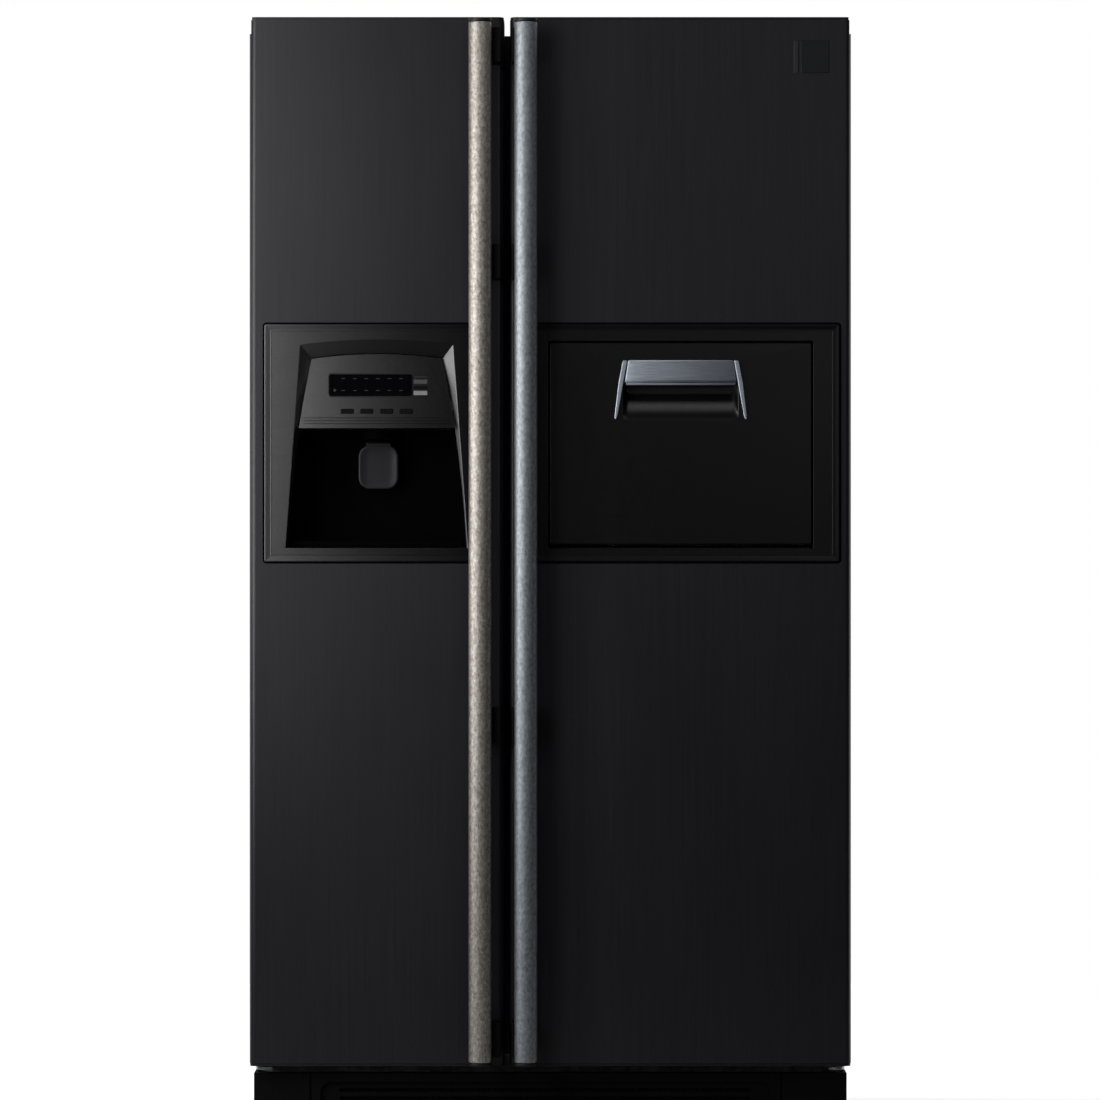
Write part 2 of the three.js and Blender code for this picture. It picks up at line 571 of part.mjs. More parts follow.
// The surround is a flat plate with an arched recess; its flanks slope in to the control panel and niche.
function buildDispenser() {
  const plate = roundedRect(
    [DISPENSER_X - SURROUND_HALF_WIDTH, DISPENSER_X + SURROUND_HALF_WIDTH],
    [FACE_BOTTOM_Z, FACE_TOP_Z],
    3,
  );
  const mouth = archPoints([NICHE_BOTTOM_Z, ARCH_TOP_Z + BROW], archOuter, ARCH_RISE);
  const throat = archPoints([NICHE_BOTTOM_Z, ARCH_TOP_Z], archInner, ARCH_RISE);
  const throatY = DOOR_FRONT_Y + FLANK_DEPTH;
  const recess = join(
    loftY(mouth, SURROUND_Y[0], throat, throatY),
    extrudeY(new THREE.Shape(mouth), [SURROUND_Y[0] - 1, SURROUND_Y[0]]),
    extrudeY(new THREE.Shape(throat), [throatY, SURROUND_Y[1] + 1]),
  );
  add("dispenser_surround", cut(extrudeY(plate, SURROUND_Y), recess), SILVER_PLASTIC);
  buildControls();
  buildNiche();
  buildLever();

  const trayHalf = archInner(NICHE_BOTTOM_Z) - 8;
  const trayDepth = 62;
  const tray = box([-trayHalf, trayHalf], [0, trayDepth], [0, 7.4]);
  const grooves = [];
  for (let row = 0; row < 6; row += 1) {
    grooves.push(box([8 - trayHalf, trayHalf - 8], [5 + row * 9, 10.5 + row * 9], [3, 9]));
  }
  const trayPlace = [DISPENSER_X, NICHE_Y[0] + 1, NICHE_BOTTOM_Z + 3.6];
  add("drip_tray", cut(tray, ...grooves), CHARCOAL, trayPlace);
}

// The control panel leans back from its lower lip to the top of the recess; a row of keys passes through it.
function buildControls() {
  const lip = { y: DOOR_FRONT_Y - 2, z: NICHE_TOP_Z + 1 };
  const rise = ARCH_TOP_Z - 1 - lip.z;
  const tilt = Math.atan2(FLANK_DEPTH, rise);
  const length = rise / Math.cos(tilt);
  const thick = 5;
  const console = new THREE.Group();
  console.position.set(DISPENSER_X, lip.y, lip.z);
  console.rotation.x = -tilt;
  root.add(console);

  const halfWidth = (along) => archInner(lip.z + along * Math.cos(tilt)) - 0.6;
  const face = extrudeY(archShape([0, length], halfWidth, ARCH_RISE - 0.5, 0), [0, thick]);
  const ledge = extrudeY(archShape([0, 5], halfWidth, 0, 0), [-2, 1]);
  const keyXs = [-1.5, -0.5, 0.5, 1.5].map((step) => step * KEY.pitch);
  const keyHoles = keyXs.map((x) => {
    const half = [KEY.width / 2 + 0.5, KEY.height / 2 + 0.5];
    const shape = roundedRect([x - half[0], x + half[0]], [KEY.up - half[1], KEY.up + half[1]], 2);
    return extrudeY(shape, [-1, thick + 1], 2);
  });
  add("control_panel", cut(join(face, ledge), ...keyHoles), SILVER_PLASTIC, [0, 0, 0], console);
  keyXs.forEach((x, index) => {
    const front = roundedRect([-KEY.width / 2, KEY.width / 2], [-KEY.height / 2, KEY.height / 2], 1.6);
    const cap = extrudeY(front, [-KEY.travel - 0.7, thick + 2], 2);
    add("function_key_" + (index + 1), cap, BLACK_PLASTIC, [x, 0, KEY.up], console);
  });
}

// The niche: an open-fronted tub with the mouth of the ice chute in its ceiling.
function buildNiche() {
  const wall = 2.5;
  const outer = archShape([NICHE_BOTTOM_Z + 0.4, NICHE_TOP_Z - 0.4], widened(archInner, -0.4), 0);
  const innerZ = [NICHE_BOTTOM_Z + 0.4 + wall, NICHE_TOP_Z - 0.4 - wall];
  const inner = archShape(innerZ, widened(archInner, -0.4 - wall), 0);
  const shell = cut(extrudeY(outer, NICHE_Y), extrudeY(inner, [NICHE_Y[0] - 1, NICHE_Y[1] - wall]));
  const mouth = [DISPENSER_X, DOOR_FRONT_Y + 46];
  const chute = cut(
    rod("z", 25, [innerZ[1] - 12, innerZ[1] + 1], mouth, 32),
    rod("z", 21, [innerZ[1] - 13, innerZ[1] - 2], mouth, 32),
  );
  add("dispenser_niche", join(shell, chute), BLACK_PLASTIC);
}

const LEVER_AXIS = { y: DOOR_FRONT_Y + 66, z: 1084 };

// The lever hangs from its pivot at the back of the niche; a glass pushed against it swings it backwards.
function buildLever() {
  const paddle = extrudeY(roundedRect([-31.5, 31.5], [-70, -1], 12, 16), [-4, 1], 6);
  const pivot = rod("x", 4, [-20, 20], [0, 0], 12);
  add("dispenser_lever", join(paddle, pivot), CHARCOAL, [DISPENSER_X, LEVER_AXIS.y, LEVER_AXIS.z]);
}

// ---- Home bar ---------------------------------------------------------------------------------------
const BAR_MIDDLE_X = (FRIDGE_DOOR.x[0] + FRIDGE_DOOR.x[1]) / 2;
const BAR_FRAME_HALF = 247.5;
const FLAP_HALF = 205;
const FLAP_BOTTOM_Z = 926;
const FLAP_TOP_Z = 1242;
const FLAP_THICK = 42;
const FLAP_GAP = 2.5;
const FLAP_BOTTOM_GAP = 4.5; // room for the flap's lower front edge as it swings
const BAR_FRAME_Y = [DOOR_FRONT_Y - SURROUND_PROUD, DOOR_FRONT_Y + 24];
const CASE_Y = [DOOR_FRONT_Y + FLAP_THICK + 2, CABINET_FRONT_Y + 92];
const GRIP = { half: 81, z: [1182, 1212], recessZ: 1124 };

function homeBarOpening() {
  const seat = roundedRect(
    [BAR_MIDDLE_X - BAR_FRAME_HALF - CLEAR, BAR_MIDDLE_X + BAR_FRAME_HALF + CLEAR],
    [FACE_BOTTOM_Z - CLEAR, FACE_TOP_Z + CLEAR],
    3,
  );
  const hole = FLAP_HALF + FLAP_GAP;
  return join(
    extrudeY(seat, [DOOR_FRONT_Y - 1, BAR_FRAME_Y[1] + CLEAR]),
    box(
      [BAR_MIDDLE_X - hole, BAR_MIDDLE_X + hole],
      [DOOR_FRONT_Y, DOOR_REAR_Y + 1],
      [FLAP_BOTTOM_Z - FLAP_BOTTOM_GAP, FLAP_TOP_Z + FLAP_GAP],
    ),
  );
}

function buildHomeBar() {
  const hole = FLAP_HALF + FLAP_GAP;
  const frame = roundedRect(
    [BAR_MIDDLE_X - BAR_FRAME_HALF, BAR_MIDDLE_X + BAR_FRAME_HALF],
    [FACE_BOTTOM_Z, FACE_TOP_Z],
    3,
  );
  const opening = box(
    [BAR_MIDDLE_X - hole, BAR_MIDDLE_X + hole],
    [BAR_FRAME_Y[0] - 1, BAR_FRAME_Y[1] + 1],
    [FLAP_BOTTOM_Z - FLAP_BOTTOM_GAP, FLAP_TOP_Z + FLAP_GAP],
  );
  add("home_bar_frame", cut(extrudeY(frame, BAR_FRAME_Y), opening), BLACK_PLASTIC);

  // The flap, with a scooped finger recess that is deepest behind the handle plate.
  const flapX = [BAR_MIDDLE_X - FLAP_HALF, BAR_MIDDLE_X + FLAP_HALF];
  const front = roundedRect(flapX, [FLAP_BOTTOM_Z, FLAP_TOP_Z], 4);
  const slab = extrudeY(front, [DOOR_FRONT_Y, DOOR_FRONT_Y + FLAP_THICK]);
  const scoop = new THREE.Shape();
  scoop.moveTo(DOOR_FRONT_Y - 1, GRIP.recessZ);
  scoop.quadraticCurveTo(DOOR_FRONT_Y + 24, GRIP.recessZ + 8, DOOR_FRONT_Y + 24, GRIP.z[0]);
  scoop.lineTo(DOOR_FRONT_Y + 24, GRIP.z[1] - 6);
  scoop.lineTo(DOOR_FRONT_Y - 1, GRIP.z[1] - 6);
  const recess = extrudeX(scoop, [BAR_MIDDLE_X - GRIP.half - 6, BAR_MIDDLE_X + GRIP.half + 6], 10);
  add("home_bar_flap", cut(slab, recess), BLACK_STEEL);

  // Handle plate over the top of the recess, with a leg down each side of it.
  const plateY = [DOOR_FRONT_Y - 4, DOOR_FRONT_Y - CLEAR];
  const leg = (sign) =>
    outline([
      [BAR_MIDDLE_X + sign * (GRIP.half + 7), GRIP.z[1] + 2],
      [BAR_MIDDLE_X + sign * (GRIP.half + 14), GRIP.z[1] + 2],
      [BAR_MIDDLE_X + sign * (GRIP.half + 24), GRIP.recessZ - 2],
      [BAR_MIDDLE_X + sign * (GRIP.half + 20), GRIP.recessZ - 2],
    ]);
  const grip = join(
    extrudeY(roundedRect([BAR_MIDDLE_X - GRIP.half - 8, BAR_MIDDLE_X + GRIP.half + 8], GRIP.z, 2), plateY, 3),
    extrudeY(leg(-1), plateY),
    extrudeY(leg(1), plateY),
  );
  add("home_bar_handle", grip, BRIGHT_TRIM);

  // The case behind the flap, where the bottles stand: open to the front.
  const caseX = [BAR_MIDDLE_X - FLAP_HALF + 6, BAR_MIDDLE_X + FLAP_HALF - 6];
  const caseZ = [FLAP_BOTTOM_Z + 4, FLAP_TOP_Z - 4];
  const tubBody = cut(
    box(caseX, CASE_Y, caseZ),
    box(
      [caseX[0] + 3, caseX[1] - 3],
      [CASE_Y[0] - 1, CASE_Y[1] - 3],
      [caseZ[0] + 3, caseZ[1] - 3],
    ),
  );
  add("home_bar_case", tubBody, LINER_WHITE);
}

// ---- Door assemblies --------------------------------------------------------------------------------
function buildFreezerDoor() {
  buildDoorShell(FREEZER_DOOR, [dispenserOpening()]);
  const liner = doorLiner(FREEZER_DOOR);
  // A hollow bulge in the liner takes the back of the dispenser niche.
  const nicheZ = [NICHE_BOTTOM_Z - 2, NICHE_TOP_Z + 2];
  const bulgeX = [DISPENSER_X - 145, DISPENSER_X + 145];
  const bulge = box(bulgeX, [liner.plateY - 1, NICHE_Y[1] + 5], [nicheZ[0] - 3, nicheZ[1] + 3]);
  const room = extrudeY(archShape(nicheZ, widened(archInner, 2), 0), [DOOR_REAR_Y, NICHE_Y[1] + 2]);
  add("freezer_door_liner", cut(join(liner.body, bulge), room), LINER_WHITE);
  addBin("freezer_door_bin", liner, 560, 120);
  addHandle(FREEZER_DOOR, -127, [-123, -77]);
  buildDispenser();
}

function buildFridgeDoor() {
  buildDoorShell(FRIDGE_DOOR, [homeBarOpening()]);
  const liner = doorLiner(FRIDGE_DOOR);
  const hole = box(
    [BAR_MIDDLE_X - FLAP_HALF + 5, BAR_MIDDLE_X + FLAP_HALF - 5],
    [DOOR_REAR_Y, DOOR_REAR_Y + 60],
    [FLAP_BOTTOM_Z + 3, FLAP_TOP_Z - 3],
  );
  add("fridge_door_liner", cut(liner.body, hole), LINER_WHITE);
  addBin("fridge_door_bin", liner, 560, 120);
  addHandle(FRIDGE_DOOR, -56, [-60, -24]);
  buildHomeBar();
}

// ---- Inside the compartments ------------------------------------------------------------------------
const LINER_GAP = CLEAR + SHEET + 0.6;
const FREEZER_X = [-INNER_X + LINER_GAP, MULLION_LEFT_X - LINER_GAP];
const FRIDGE_X = [MULLION_RIGHT_X + LINER_GAP, INNER_X - LINER_GAP];
const SHELF_FRONT_Y = CABINET_FRONT_Y + BIN_REACH + 12;
const SHELF_REAR_Y = REAR_WALL_Y - 22;

function addShelf(name, [x0, x1], z) {
  const plate = box([0, x1 - x0], [0, SHELF_REAR_Y - SHELF_FRONT_Y], [0, 5]);
  const lip = box([0, x1 - x0], [-6, 0], [-6, 8]);
  add(name, join(plate, lip), CLEAR_PLASTIC, [x0, SHELF_FRONT_Y, z]);
}

function addDrawer(name, [x0, x1], z, height, rearY) {
  const body = tub(x1 - x0 - 12, rearY - SHELF_FRONT_Y, height, 3);
  add(name, body, CLEAR_PLASTIC, [x0 + 6, SHELF_FRONT_Y, z]);
}

function buildInterior() {
  addShelf("freezer_shelf_lower", FREEZER_X, 760);
  addShelf("freezer_shelf_upper", FREEZER_X, 1120);
  addDrawer("freezer_drawer", FREEZER_X, FLOOR_TOP_Z + STEP_RISE + 8, 190, SHELF_REAR_Y);
  addDrawer("ice_bin", FREEZER_X, 1330, 210, SHELF_REAR_Y - 60);
  addShelf("fridge_shelf_lower", FRIDGE_X, 760);
  addShelf("fridge_shelf_upper", FRIDGE_X, 1320);
  addDrawer("crisper_lower", FRIDGE_X, FLOOR_TOP_Z + 6, 138, STEP_Y - 8);
  addDrawer("crisper_upper", FRIDGE_X, FLOOR_TOP_Z + STEP_RISE + 8, 190, SHELF_REAR_Y);
}

buildCabinet();
buildBase();
buildHinges();
buildFreezerDoor();
buildFridgeDoor();
buildInterior();

export default root;
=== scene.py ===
"""A black side by side refrigerator: materials, finished edges and fine pieces round its CAD frame.

Metres, +Z up, the doors face -Y. Places come from the CAD nodes' boxes, and sizes on them are named here.
"""
import json
import math

import bmesh
import bpy
from mathutils import Matrix, Vector


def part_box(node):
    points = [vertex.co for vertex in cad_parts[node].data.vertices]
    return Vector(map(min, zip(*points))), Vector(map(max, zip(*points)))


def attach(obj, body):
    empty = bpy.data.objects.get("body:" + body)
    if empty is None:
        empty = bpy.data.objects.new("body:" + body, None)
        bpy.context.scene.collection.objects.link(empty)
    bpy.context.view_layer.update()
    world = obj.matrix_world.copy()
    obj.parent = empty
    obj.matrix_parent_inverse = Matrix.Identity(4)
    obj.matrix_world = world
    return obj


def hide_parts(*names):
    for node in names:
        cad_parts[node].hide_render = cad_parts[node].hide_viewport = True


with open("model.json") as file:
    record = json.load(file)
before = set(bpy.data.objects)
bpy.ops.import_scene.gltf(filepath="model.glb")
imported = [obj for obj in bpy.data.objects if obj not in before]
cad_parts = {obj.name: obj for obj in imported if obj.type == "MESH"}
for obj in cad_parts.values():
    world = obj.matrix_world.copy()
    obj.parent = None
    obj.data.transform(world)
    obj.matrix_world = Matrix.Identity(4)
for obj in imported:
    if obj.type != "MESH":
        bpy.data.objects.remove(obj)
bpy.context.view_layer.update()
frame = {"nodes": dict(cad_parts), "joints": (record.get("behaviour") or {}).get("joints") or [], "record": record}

MM = 0.001


# ---- Materials ---------------------------------------------------------------------------------------
class NodeTree:
    """Short ways to add nodes to a tree and to link them."""

    def __init__(self, tree):
        self.tree = tree

    def node(self, kind, **settings):
        made = self.tree.nodes.new(kind)
        for name, value in settings.items():
            setattr(made, name, value)
        return made

    def link(self, output, target):
        self.tree.links.new(output, target)

    def spread(self, factor, low, high, out_low=0.0, out_high=1.0, **settings):
        """The factor's range from low to high, stretched to run from out_low to out_high."""
        ramp = self.node("ShaderNodeMapRange", **settings)
        for name, value in zip(("From Min", "From Max", "To Min", "To Max"), (low, high, out_low, out_high)):
            ramp.inputs[name].default_value = value
        self.link(factor, ramp.inputs["Value"])
        return ramp.outputs["Result"]

    def component(self, vector, axis):
        split = self.node("ShaderNodeSeparateXYZ")
        self.link(vector, split.inputs[0])
        return split.outputs[axis]

    def combine(self, operation, first, second):
        maths = self.node("ShaderNodeMath", operation=operation)
        self.link(first, maths.inputs[0])
        self.link(second, maths.inputs[1])
        return maths.outputs[0]

    def seen(self):
        """1 for what the camera sees itself, and 0 for reflections and bounced light."""
        return self.node("ShaderNodeLightPath").outputs["Is Camera Ray"]


class Surface(NodeTree):
    """A Principled material under construction, with short ways to add procedural detail to it."""

    def __init__(self, name, color, roughness, metallic=0.0, **sockets):
        self.name = name
        self.material = bpy.data.materials.new(name)
        self.material.use_nodes = True
        super().__init__(self.material.node_tree)
        self.shader = self.tree.nodes["Principled BSDF"]
        self.set(Roughness=roughness, Metallic=metallic, **sockets)
        self.shader.inputs["Base Color"].default_value = (*color, 1)
        self.coordinates = self.node("ShaderNodeTexCoord").outputs["Object"]

    def set(self, **sockets):
        for name, value in sockets.items():
            self.shader.inputs[name.replace("_", " ")].default_value = value

    def place(self, stretch):
        mapping = self.node("ShaderNodeMapping")
        mapping.inputs["Scale"].default_value = stretch
        self.link(self.coordinates, mapping.inputs["Vector"])
        return mapping.outputs["Vector"]

    def grain(self, scale, stretch=(1, 1, 1), detail=3.0, rough=0.5):
        """Noise whose cells are 1/scale of a metre wide, divided by the stretch along each axis."""
        noise = self.node("ShaderNodeTexNoise")
        noise.inputs["Scale"].default_value = scale
        noise.inputs["Detail"].default_value = detail
        noise.inputs["Roughness"].default_value = rough
        self.link(self.place(stretch), noise.inputs["Vector"])
        return noise.outputs["Fac"]

    def cells(self, scale, output="Distance"):
        voronoi = self.node("ShaderNodeTexVoronoi")
        voronoi.inputs["Scale"].default_value = scale
        self.link(self.coordinates, voronoi.inputs["Vector"])
        return voronoi.outputs[output]

    def color_between(self, factor, dark, light):
        mix = self.node("ShaderNodeMix", data_type="RGBA", clamp_factor=False)
        self.link(factor, mix.inputs["Factor"])
        mix.inputs["A"].default_value = (*dark, 1)
        mix.inputs["B"].default_value = (*light, 1)
        self.link(mix.outputs["Result"], self.shader.inputs["Base Color"])
        return self

    def roughness_between(self, factor, low, high):
        self.link(self.spread(factor, 0.3, 0.7, low, high), self.shader.inputs["Roughness"])
        return self

    def bump(self, factor, depth, strength=1.0):
        bump = self.node("ShaderNodeBump")
        bump.inputs["Distance"].default_value = depth
        bump.inputs["Strength"].default_value = strength
        self.link(factor, bump.inputs["Height"])
        target = self.shader.inputs["Normal"]
        if target.links:
            self.link(target.links[0].from_socket, bump.inputs["Normal"])
        self.link(bump.outputs["Normal"], target)
        return self


def door_skin():
    """Black prefinished steel with a faint vertical grain."""
    skin = Surface("black_door_skin", (0.012, 0.012, 0.0145), 0.4)
    streaks = skin.grain(420, (1, 1, 0.012), detail=5)
    clouds = skin.grain(5, (1, 1, 0.5), detail=2)
    skin.color_between(skin.spread(streaks, 0.3, 0.7), (0.0125, 0.012, 0.0165), (0.0195, 0.019, 0.0255))
    skin.roughness_between(clouds, 0.35, 0.4)
    return skin.bump(streaks, 0.00004, 0.35)


def cabinet_paint():
    """Black powder coat with a fine orange-peel."""
    paint = Surface("cabinet_paint", (0.018, 0.018, 0.02), 0.42)
    peel = paint.grain(900, detail=2)
    paint.color_between(paint.grain(30), (0.015, 0.015, 0.017), (0.021, 0.021, 0.023))
    return paint.roughness_between(paint.grain(60), 0.41, 0.44).bump(peel, 0.0001, 0.3)


def moulded_black(name, color, roughness, grain_depth=0.25, **sockets):
    """Moulded black plastic with a spark-eroded grain."""
    plastic = Surface(name, color, roughness, **sockets)
    pits = plastic.cells(1400)
    darker = tuple(0.85 * c for c in color)
    plastic.color_between(plastic.grain(250), darker, color)
    plastic.roughness_between(plastic.grain(120), 0.94 * roughness, 1.06 * roughness)
    return plastic.bump(pits, 0.00006, grain_depth)


SILVER_SHADE_SPAN = (-0.43, -0.02)  # of X, over which the painted shade deepens towards the handle
FLANK_FROM_TO = (-0.45, -0.65)  # of the normal's X, where a face comes to look to the left and takes the painted highlight
FLANK_PAINTED_HIGHLIGHT = 4.3
FLAKE_GAIN = 1.9


def dark_silver(name, shade, far_end):
    """Dark metallic paint on plastic: fine flakes under a satin lacquer, darkened by painted shade towards the
    handle.

    Faces that look to the left get a painted highlight, lighter than the rest all along the span.
    """
    color = (shade, shade, 1.03 * shade)
    silver = Surface(name, color, 0.32, 0.6)
    # Painted shade: the colour falls off along X towards far_end.
    across = silver.spread(silver.component(silver.coordinates, "X"), *SILVER_SHADE_SPAN, 1.0, far_end)
    normal = silver.node("ShaderNodeTexCoord").outputs["Normal"]
    # Painted highlight: faces that look to the left are made lighter.
    flank_highlight = silver.spread(silver.component(normal, "X"), *FLANK_FROM_TO, 0.0, FLANK_PAINTED_HIGHLIGHT)
    painted_shade = silver.combine("MULTIPLY", silver.combine("MULTIPLY", across, across), across)
    shade_and_highlight = silver.combine("MAXIMUM", painted_shade, flank_highlight)
    flakes = silver.spread(silver.cells(2600, "Color"), 0.0, 1.0, 0.35, 0.75)
    bright = tuple(FLAKE_GAIN * c for c in color)
    silver.color_between(silver.combine("MULTIPLY", flakes, shade_and_highlight), (0.004, 0.004, 0.0045), bright)
    silver.set(Coat_Weight=0.25, Coat_Roughness=0.28)
    return silver.roughness_between(silver.grain(160), 0.28, 0.35).bump(silver.grain(700), 0.00004, 0.4)


def satin_metal(name, dark, light, roughness):
    """Blasted and lacquered aluminium, mottled from end to end."""
    metal = Surface(name, light, roughness, 1.0)
    mottle = metal.grain(260, (1, 1, 0.6), detail=6, rough=0.7)
    metal.color_between(metal.spread(mottle, 0.32, 0.66), dark, light)
    metal.roughness_between(metal.grain(500), roughness - 0.06, roughness + 0.08)
    return metal.bump(metal.grain(1500, detail=2), 0.00008, 0.6)


def brushed_trim(name, span, far_end):
    """Silver-blue trim brushed from side to side, with painted shade that darkens it along the span."""
    trim = Surface(name, (0.7, 0.74, 0.82), 0.4, 1.0)
    strokes = trim.grain(900, (0.02, 1, 1), detail=4)
    # Painted shade: the colour falls off along X across the span to far_end.
    along = trim.spread(trim.component(trim.coordinates, "X"), *span, 1.0, far_end)
    shade = trim.combine("MULTIPLY", trim.spread(strokes, 0.35, 0.65, 0.78, 1.0), along)
    trim.color_between(shade, (0.02, 0.022, 0.028), (0.86, 0.95, 1.1))
    return trim.roughness_between(strokes, 0.37, 0.46).bump(strokes, 0.00005, 0.5)


def white_liner():
    liner = Surface("white_liner", (0.8, 0.81, 0.81), 0.32)
    liner.color_between(liner.grain(12), (0.77, 0.78, 0.78), (0.82, 0.83, 0.83))
    liner.set(Subsurface_Weight=0.05, Subsurface_Scale=0.004)
    return liner.roughness_between(liner.grain(40), 0.26, 0.38).bump(liner.grain(300, detail=2), 0.00008, 0.3)


def rubber(name, color):
    soft = Surface(name, color, 0.7)
    soft.color_between(soft.grain(180), tuple(0.7 * c for c in color), color)
    soft.set(Sheen_Weight=0.15, Sheen_Roughness=0.5)
    return soft.roughness_between(soft.grain(90), 0.62, 0.8).bump(soft.grain(1100, detail=2), 0.0001, 0.5)


def zinc_steel():
    """Galvanised sheet with its spangle."""
    zinc = Surface("zinc_steel", (0.5, 0.51, 0.53), 0.42, 0.9)
    spangle = zinc.cells(120, "Color")
    zinc.color_between(spangle, (0.4, 0.41, 0.43), (0.6, 0.61, 0.63))
    return zinc.roughness_between(spangle, 0.34, 0.5).bump(zinc.grain(600), 0.00004, 0.4)


def clear_plastic(name, color, roughness, ior):
    """See-through moulding with faint flow lines."""
    clear = Surface(name, color, roughness, IOR=ior, Transmission_Weight=0.92)
    flow = clear.grain(14, (1, 1, 0.3), detail=2)
    clear.color_between(flow, tuple(0.9 * c for c in color), color)
    return clear.roughness_between(clear.grain(60), roughness, roughness + 0.08).bump(flow, 0.0002, 0.25)


def display_glass():
    glass = Surface("display_glass", (0.002, 0.002, 0.003), 0.16, Specular_IOR_Level=0.2)
    glass.color_between(glass.grain(80), (0.0015, 0.0015, 0.002), (0.003, 0.003, 0.004))
    return glass.roughness_between(glass.grain(200), 0.08, 0.16)


def printed(name, color):
    """Screen-printed ink with a slightly uneven edge of gloss."""
    ink = Surface(name, color, 0.5)
    ink.color_between(ink.grain(900), tuple(0.8 * c for c in color), color)
    return ink.roughness_between(ink.grain(400), 0.42, 0.58)


LAMP_GLOW = 34


def lamp_lens():
    lens = Surface("lamp_lens", (0.9, 0.9, 0.86), 0.35, Emission_Strength=LAMP_GLOW)
    lens.set(Emission_Color=(1, 0.97, 0.92, 1))
    ribs = lens.grain(300, (1, 1, 0.02))
    return lens.color_between(ribs, (0.8, 0.8, 0.77), (0.92, 0.92, 0.88)).bump(ribs, 0.0004, 0.5)


MATERIALS = {surface.name: surface for surface in (
    door_skin(),
    cabinet_paint(),
    moulded_black("black_plastic", (0.005, 0.005, 0.0056), 0.45),
    moulded_black("gloss_black", (0.004, 0.004, 0.0046), 0.3, 0.03),
    # Near-black and dull: a painted shadow for the gaps round the dispenser, the home bar and its flap.
    moulded_black("gap_shadow_black", (0.0008, 0.0008, 0.0009), 0.85, Specular_IOR_Level=0.05),
    moulded_black("matt_black", (0.0016, 0.0016, 0.0018), 0.7, Specular_IOR_Level=0.15),
    # niche_plastic: darker and less glossy than the other black mouldings, as painted shade for the deep niche.
    moulded_black("niche_plastic", (0.0007, 0.0007, 0.001), 0.8, Specular_IOR_Level=0.04),
    moulded_black("key_plastic", (0.0015, 0.0015, 0.002), 0.6, Specular_IOR_Level=0.12),
    moulded_black("badge_plastic", (0.009, 0.01, 0.012), 0.42),
    moulded_black("badge_silver", (0.034, 0.034, 0.038), 0.42),
    moulded_black("paddle_plastic", (0.017, 0.0165, 0.022), 0.45, Specular_IOR_Level=0.3),
    # Both silvers carry painted shade towards the handle and a painted highlight on faces that look to the left.
    dark_silver("dark_silver_plastic", 0.095, 0.1),
    dark_silver("panel_silver", 0.2, 0.0),
    # satin_cool is a darker, cooler copy of the same metal for the fridge handle: painted shade for the dimmer
    # light on it.
    satin_metal("satin_warm", (0.27, 0.232, 0.19), (0.72, 0.7, 0.665), 0.54),
    satin_metal("satin_cool", (0.22, 0.24, 0.265), (0.52, 0.555, 0.59), 0.54),
    # bright_trim carries painted shade towards the plate's right; lip_trim a painted highlight at the lip's left
    # end fading into painted shade; leg_trim keeps one tone.
    brushed_trim("bright_trim", (0.13, 0.3), 0.3),
    brushed_trim("leg_trim", (0.1, 0.3), 1.0),
    brushed_trim("lip_trim", (-0.385, -0.31), 0.04),
    printed("faint_ink", (0.012, 0.012, 0.014)),
    white_liner(),
    rubber("gasket_rubber", (0.075, 0.075, 0.08)),
    rubber("black_rubber", (0.016, 0.016, 0.017)),
    zinc_steel(),
    moulded_black("compressor_steel", (0.02, 0.02, 0.021), 0.3),
    clear_plastic("clear_bin", (0.95, 0.97, 0.98), 0.05, 1.3),
    clear_plastic("shelf_glass", (0.86, 0.95, 0.92), 0.02, 1.45),
    display_glass(),
    printed("dim_ink", (0.07, 0.07, 0.073)),
    printed("grey_ink", (0.12, 0.12, 0.125)),
    printed("pale_ink", (0.3, 0.3, 0.31)),
    lamp_lens(),
)}


# ---- Mesh tools --------------------------------------------------------------------------------------
def flat_faces_rule(piece):
    """Lets each flat face keep its own direction, so that only the rounds beside it shade round."""
    weighted = piece.modifiers.new("flat_faces", "WEIGHTED_NORMAL")
    weighted.keep_sharp = True
    weighted.weight = 100


def add_object(name, data):
    made = bpy.data.objects.new(name, data)
    bpy.context.scene.collection.objects.link(made)
    return made


def make_piece(name, mesh_builder, look, body, replaces=(), sharp_above=35):
    """Turns a bmesh into a smooth-shaded piece that rides on a body and takes its finish from a slot."""
    bmesh.ops.recalc_face_normals(mesh_builder, faces=mesh_builder.faces)
    mesh = bpy.data.meshes.new(name)
    mesh_builder.to_mesh(mesh)
    mesh_builder.free()
    mesh.materials.append(MATERIALS[look].material)
    mesh.polygons.foreach_set("use_smooth", [True] * len(mesh.polygons))
    mesh.set_sharp_from_angle(angle=math.radians(sharp_above))
    piece = add_object(name, mesh)
    flat_faces_rule(piece)
    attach(piece, body)
    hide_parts(*replaces)
    return piece


def loft(bm, loops, cap_first=True, cap_last=True, closed=False):
    """Skins a run of loops that have equally many points, and caps its ends or joins them."""
    rings = [[bm.verts.new(point) for point in loop] for loop in loops]
    pairs = list(zip(rings, rings[1:]))
    if closed:
        pairs.append((rings[-1], rings[0]))
    for ring, following in pairs:
        for i in range(len(ring)):
            j = (i + 1) % len(ring)
            bm.faces.new((ring[i], ring[j], following[j], following[i]))
    if cap_first and not closed:
        bm.faces.new(rings[0])
    if cap_last and not closed:
        bm.faces.new(rings[-1])
    return rings


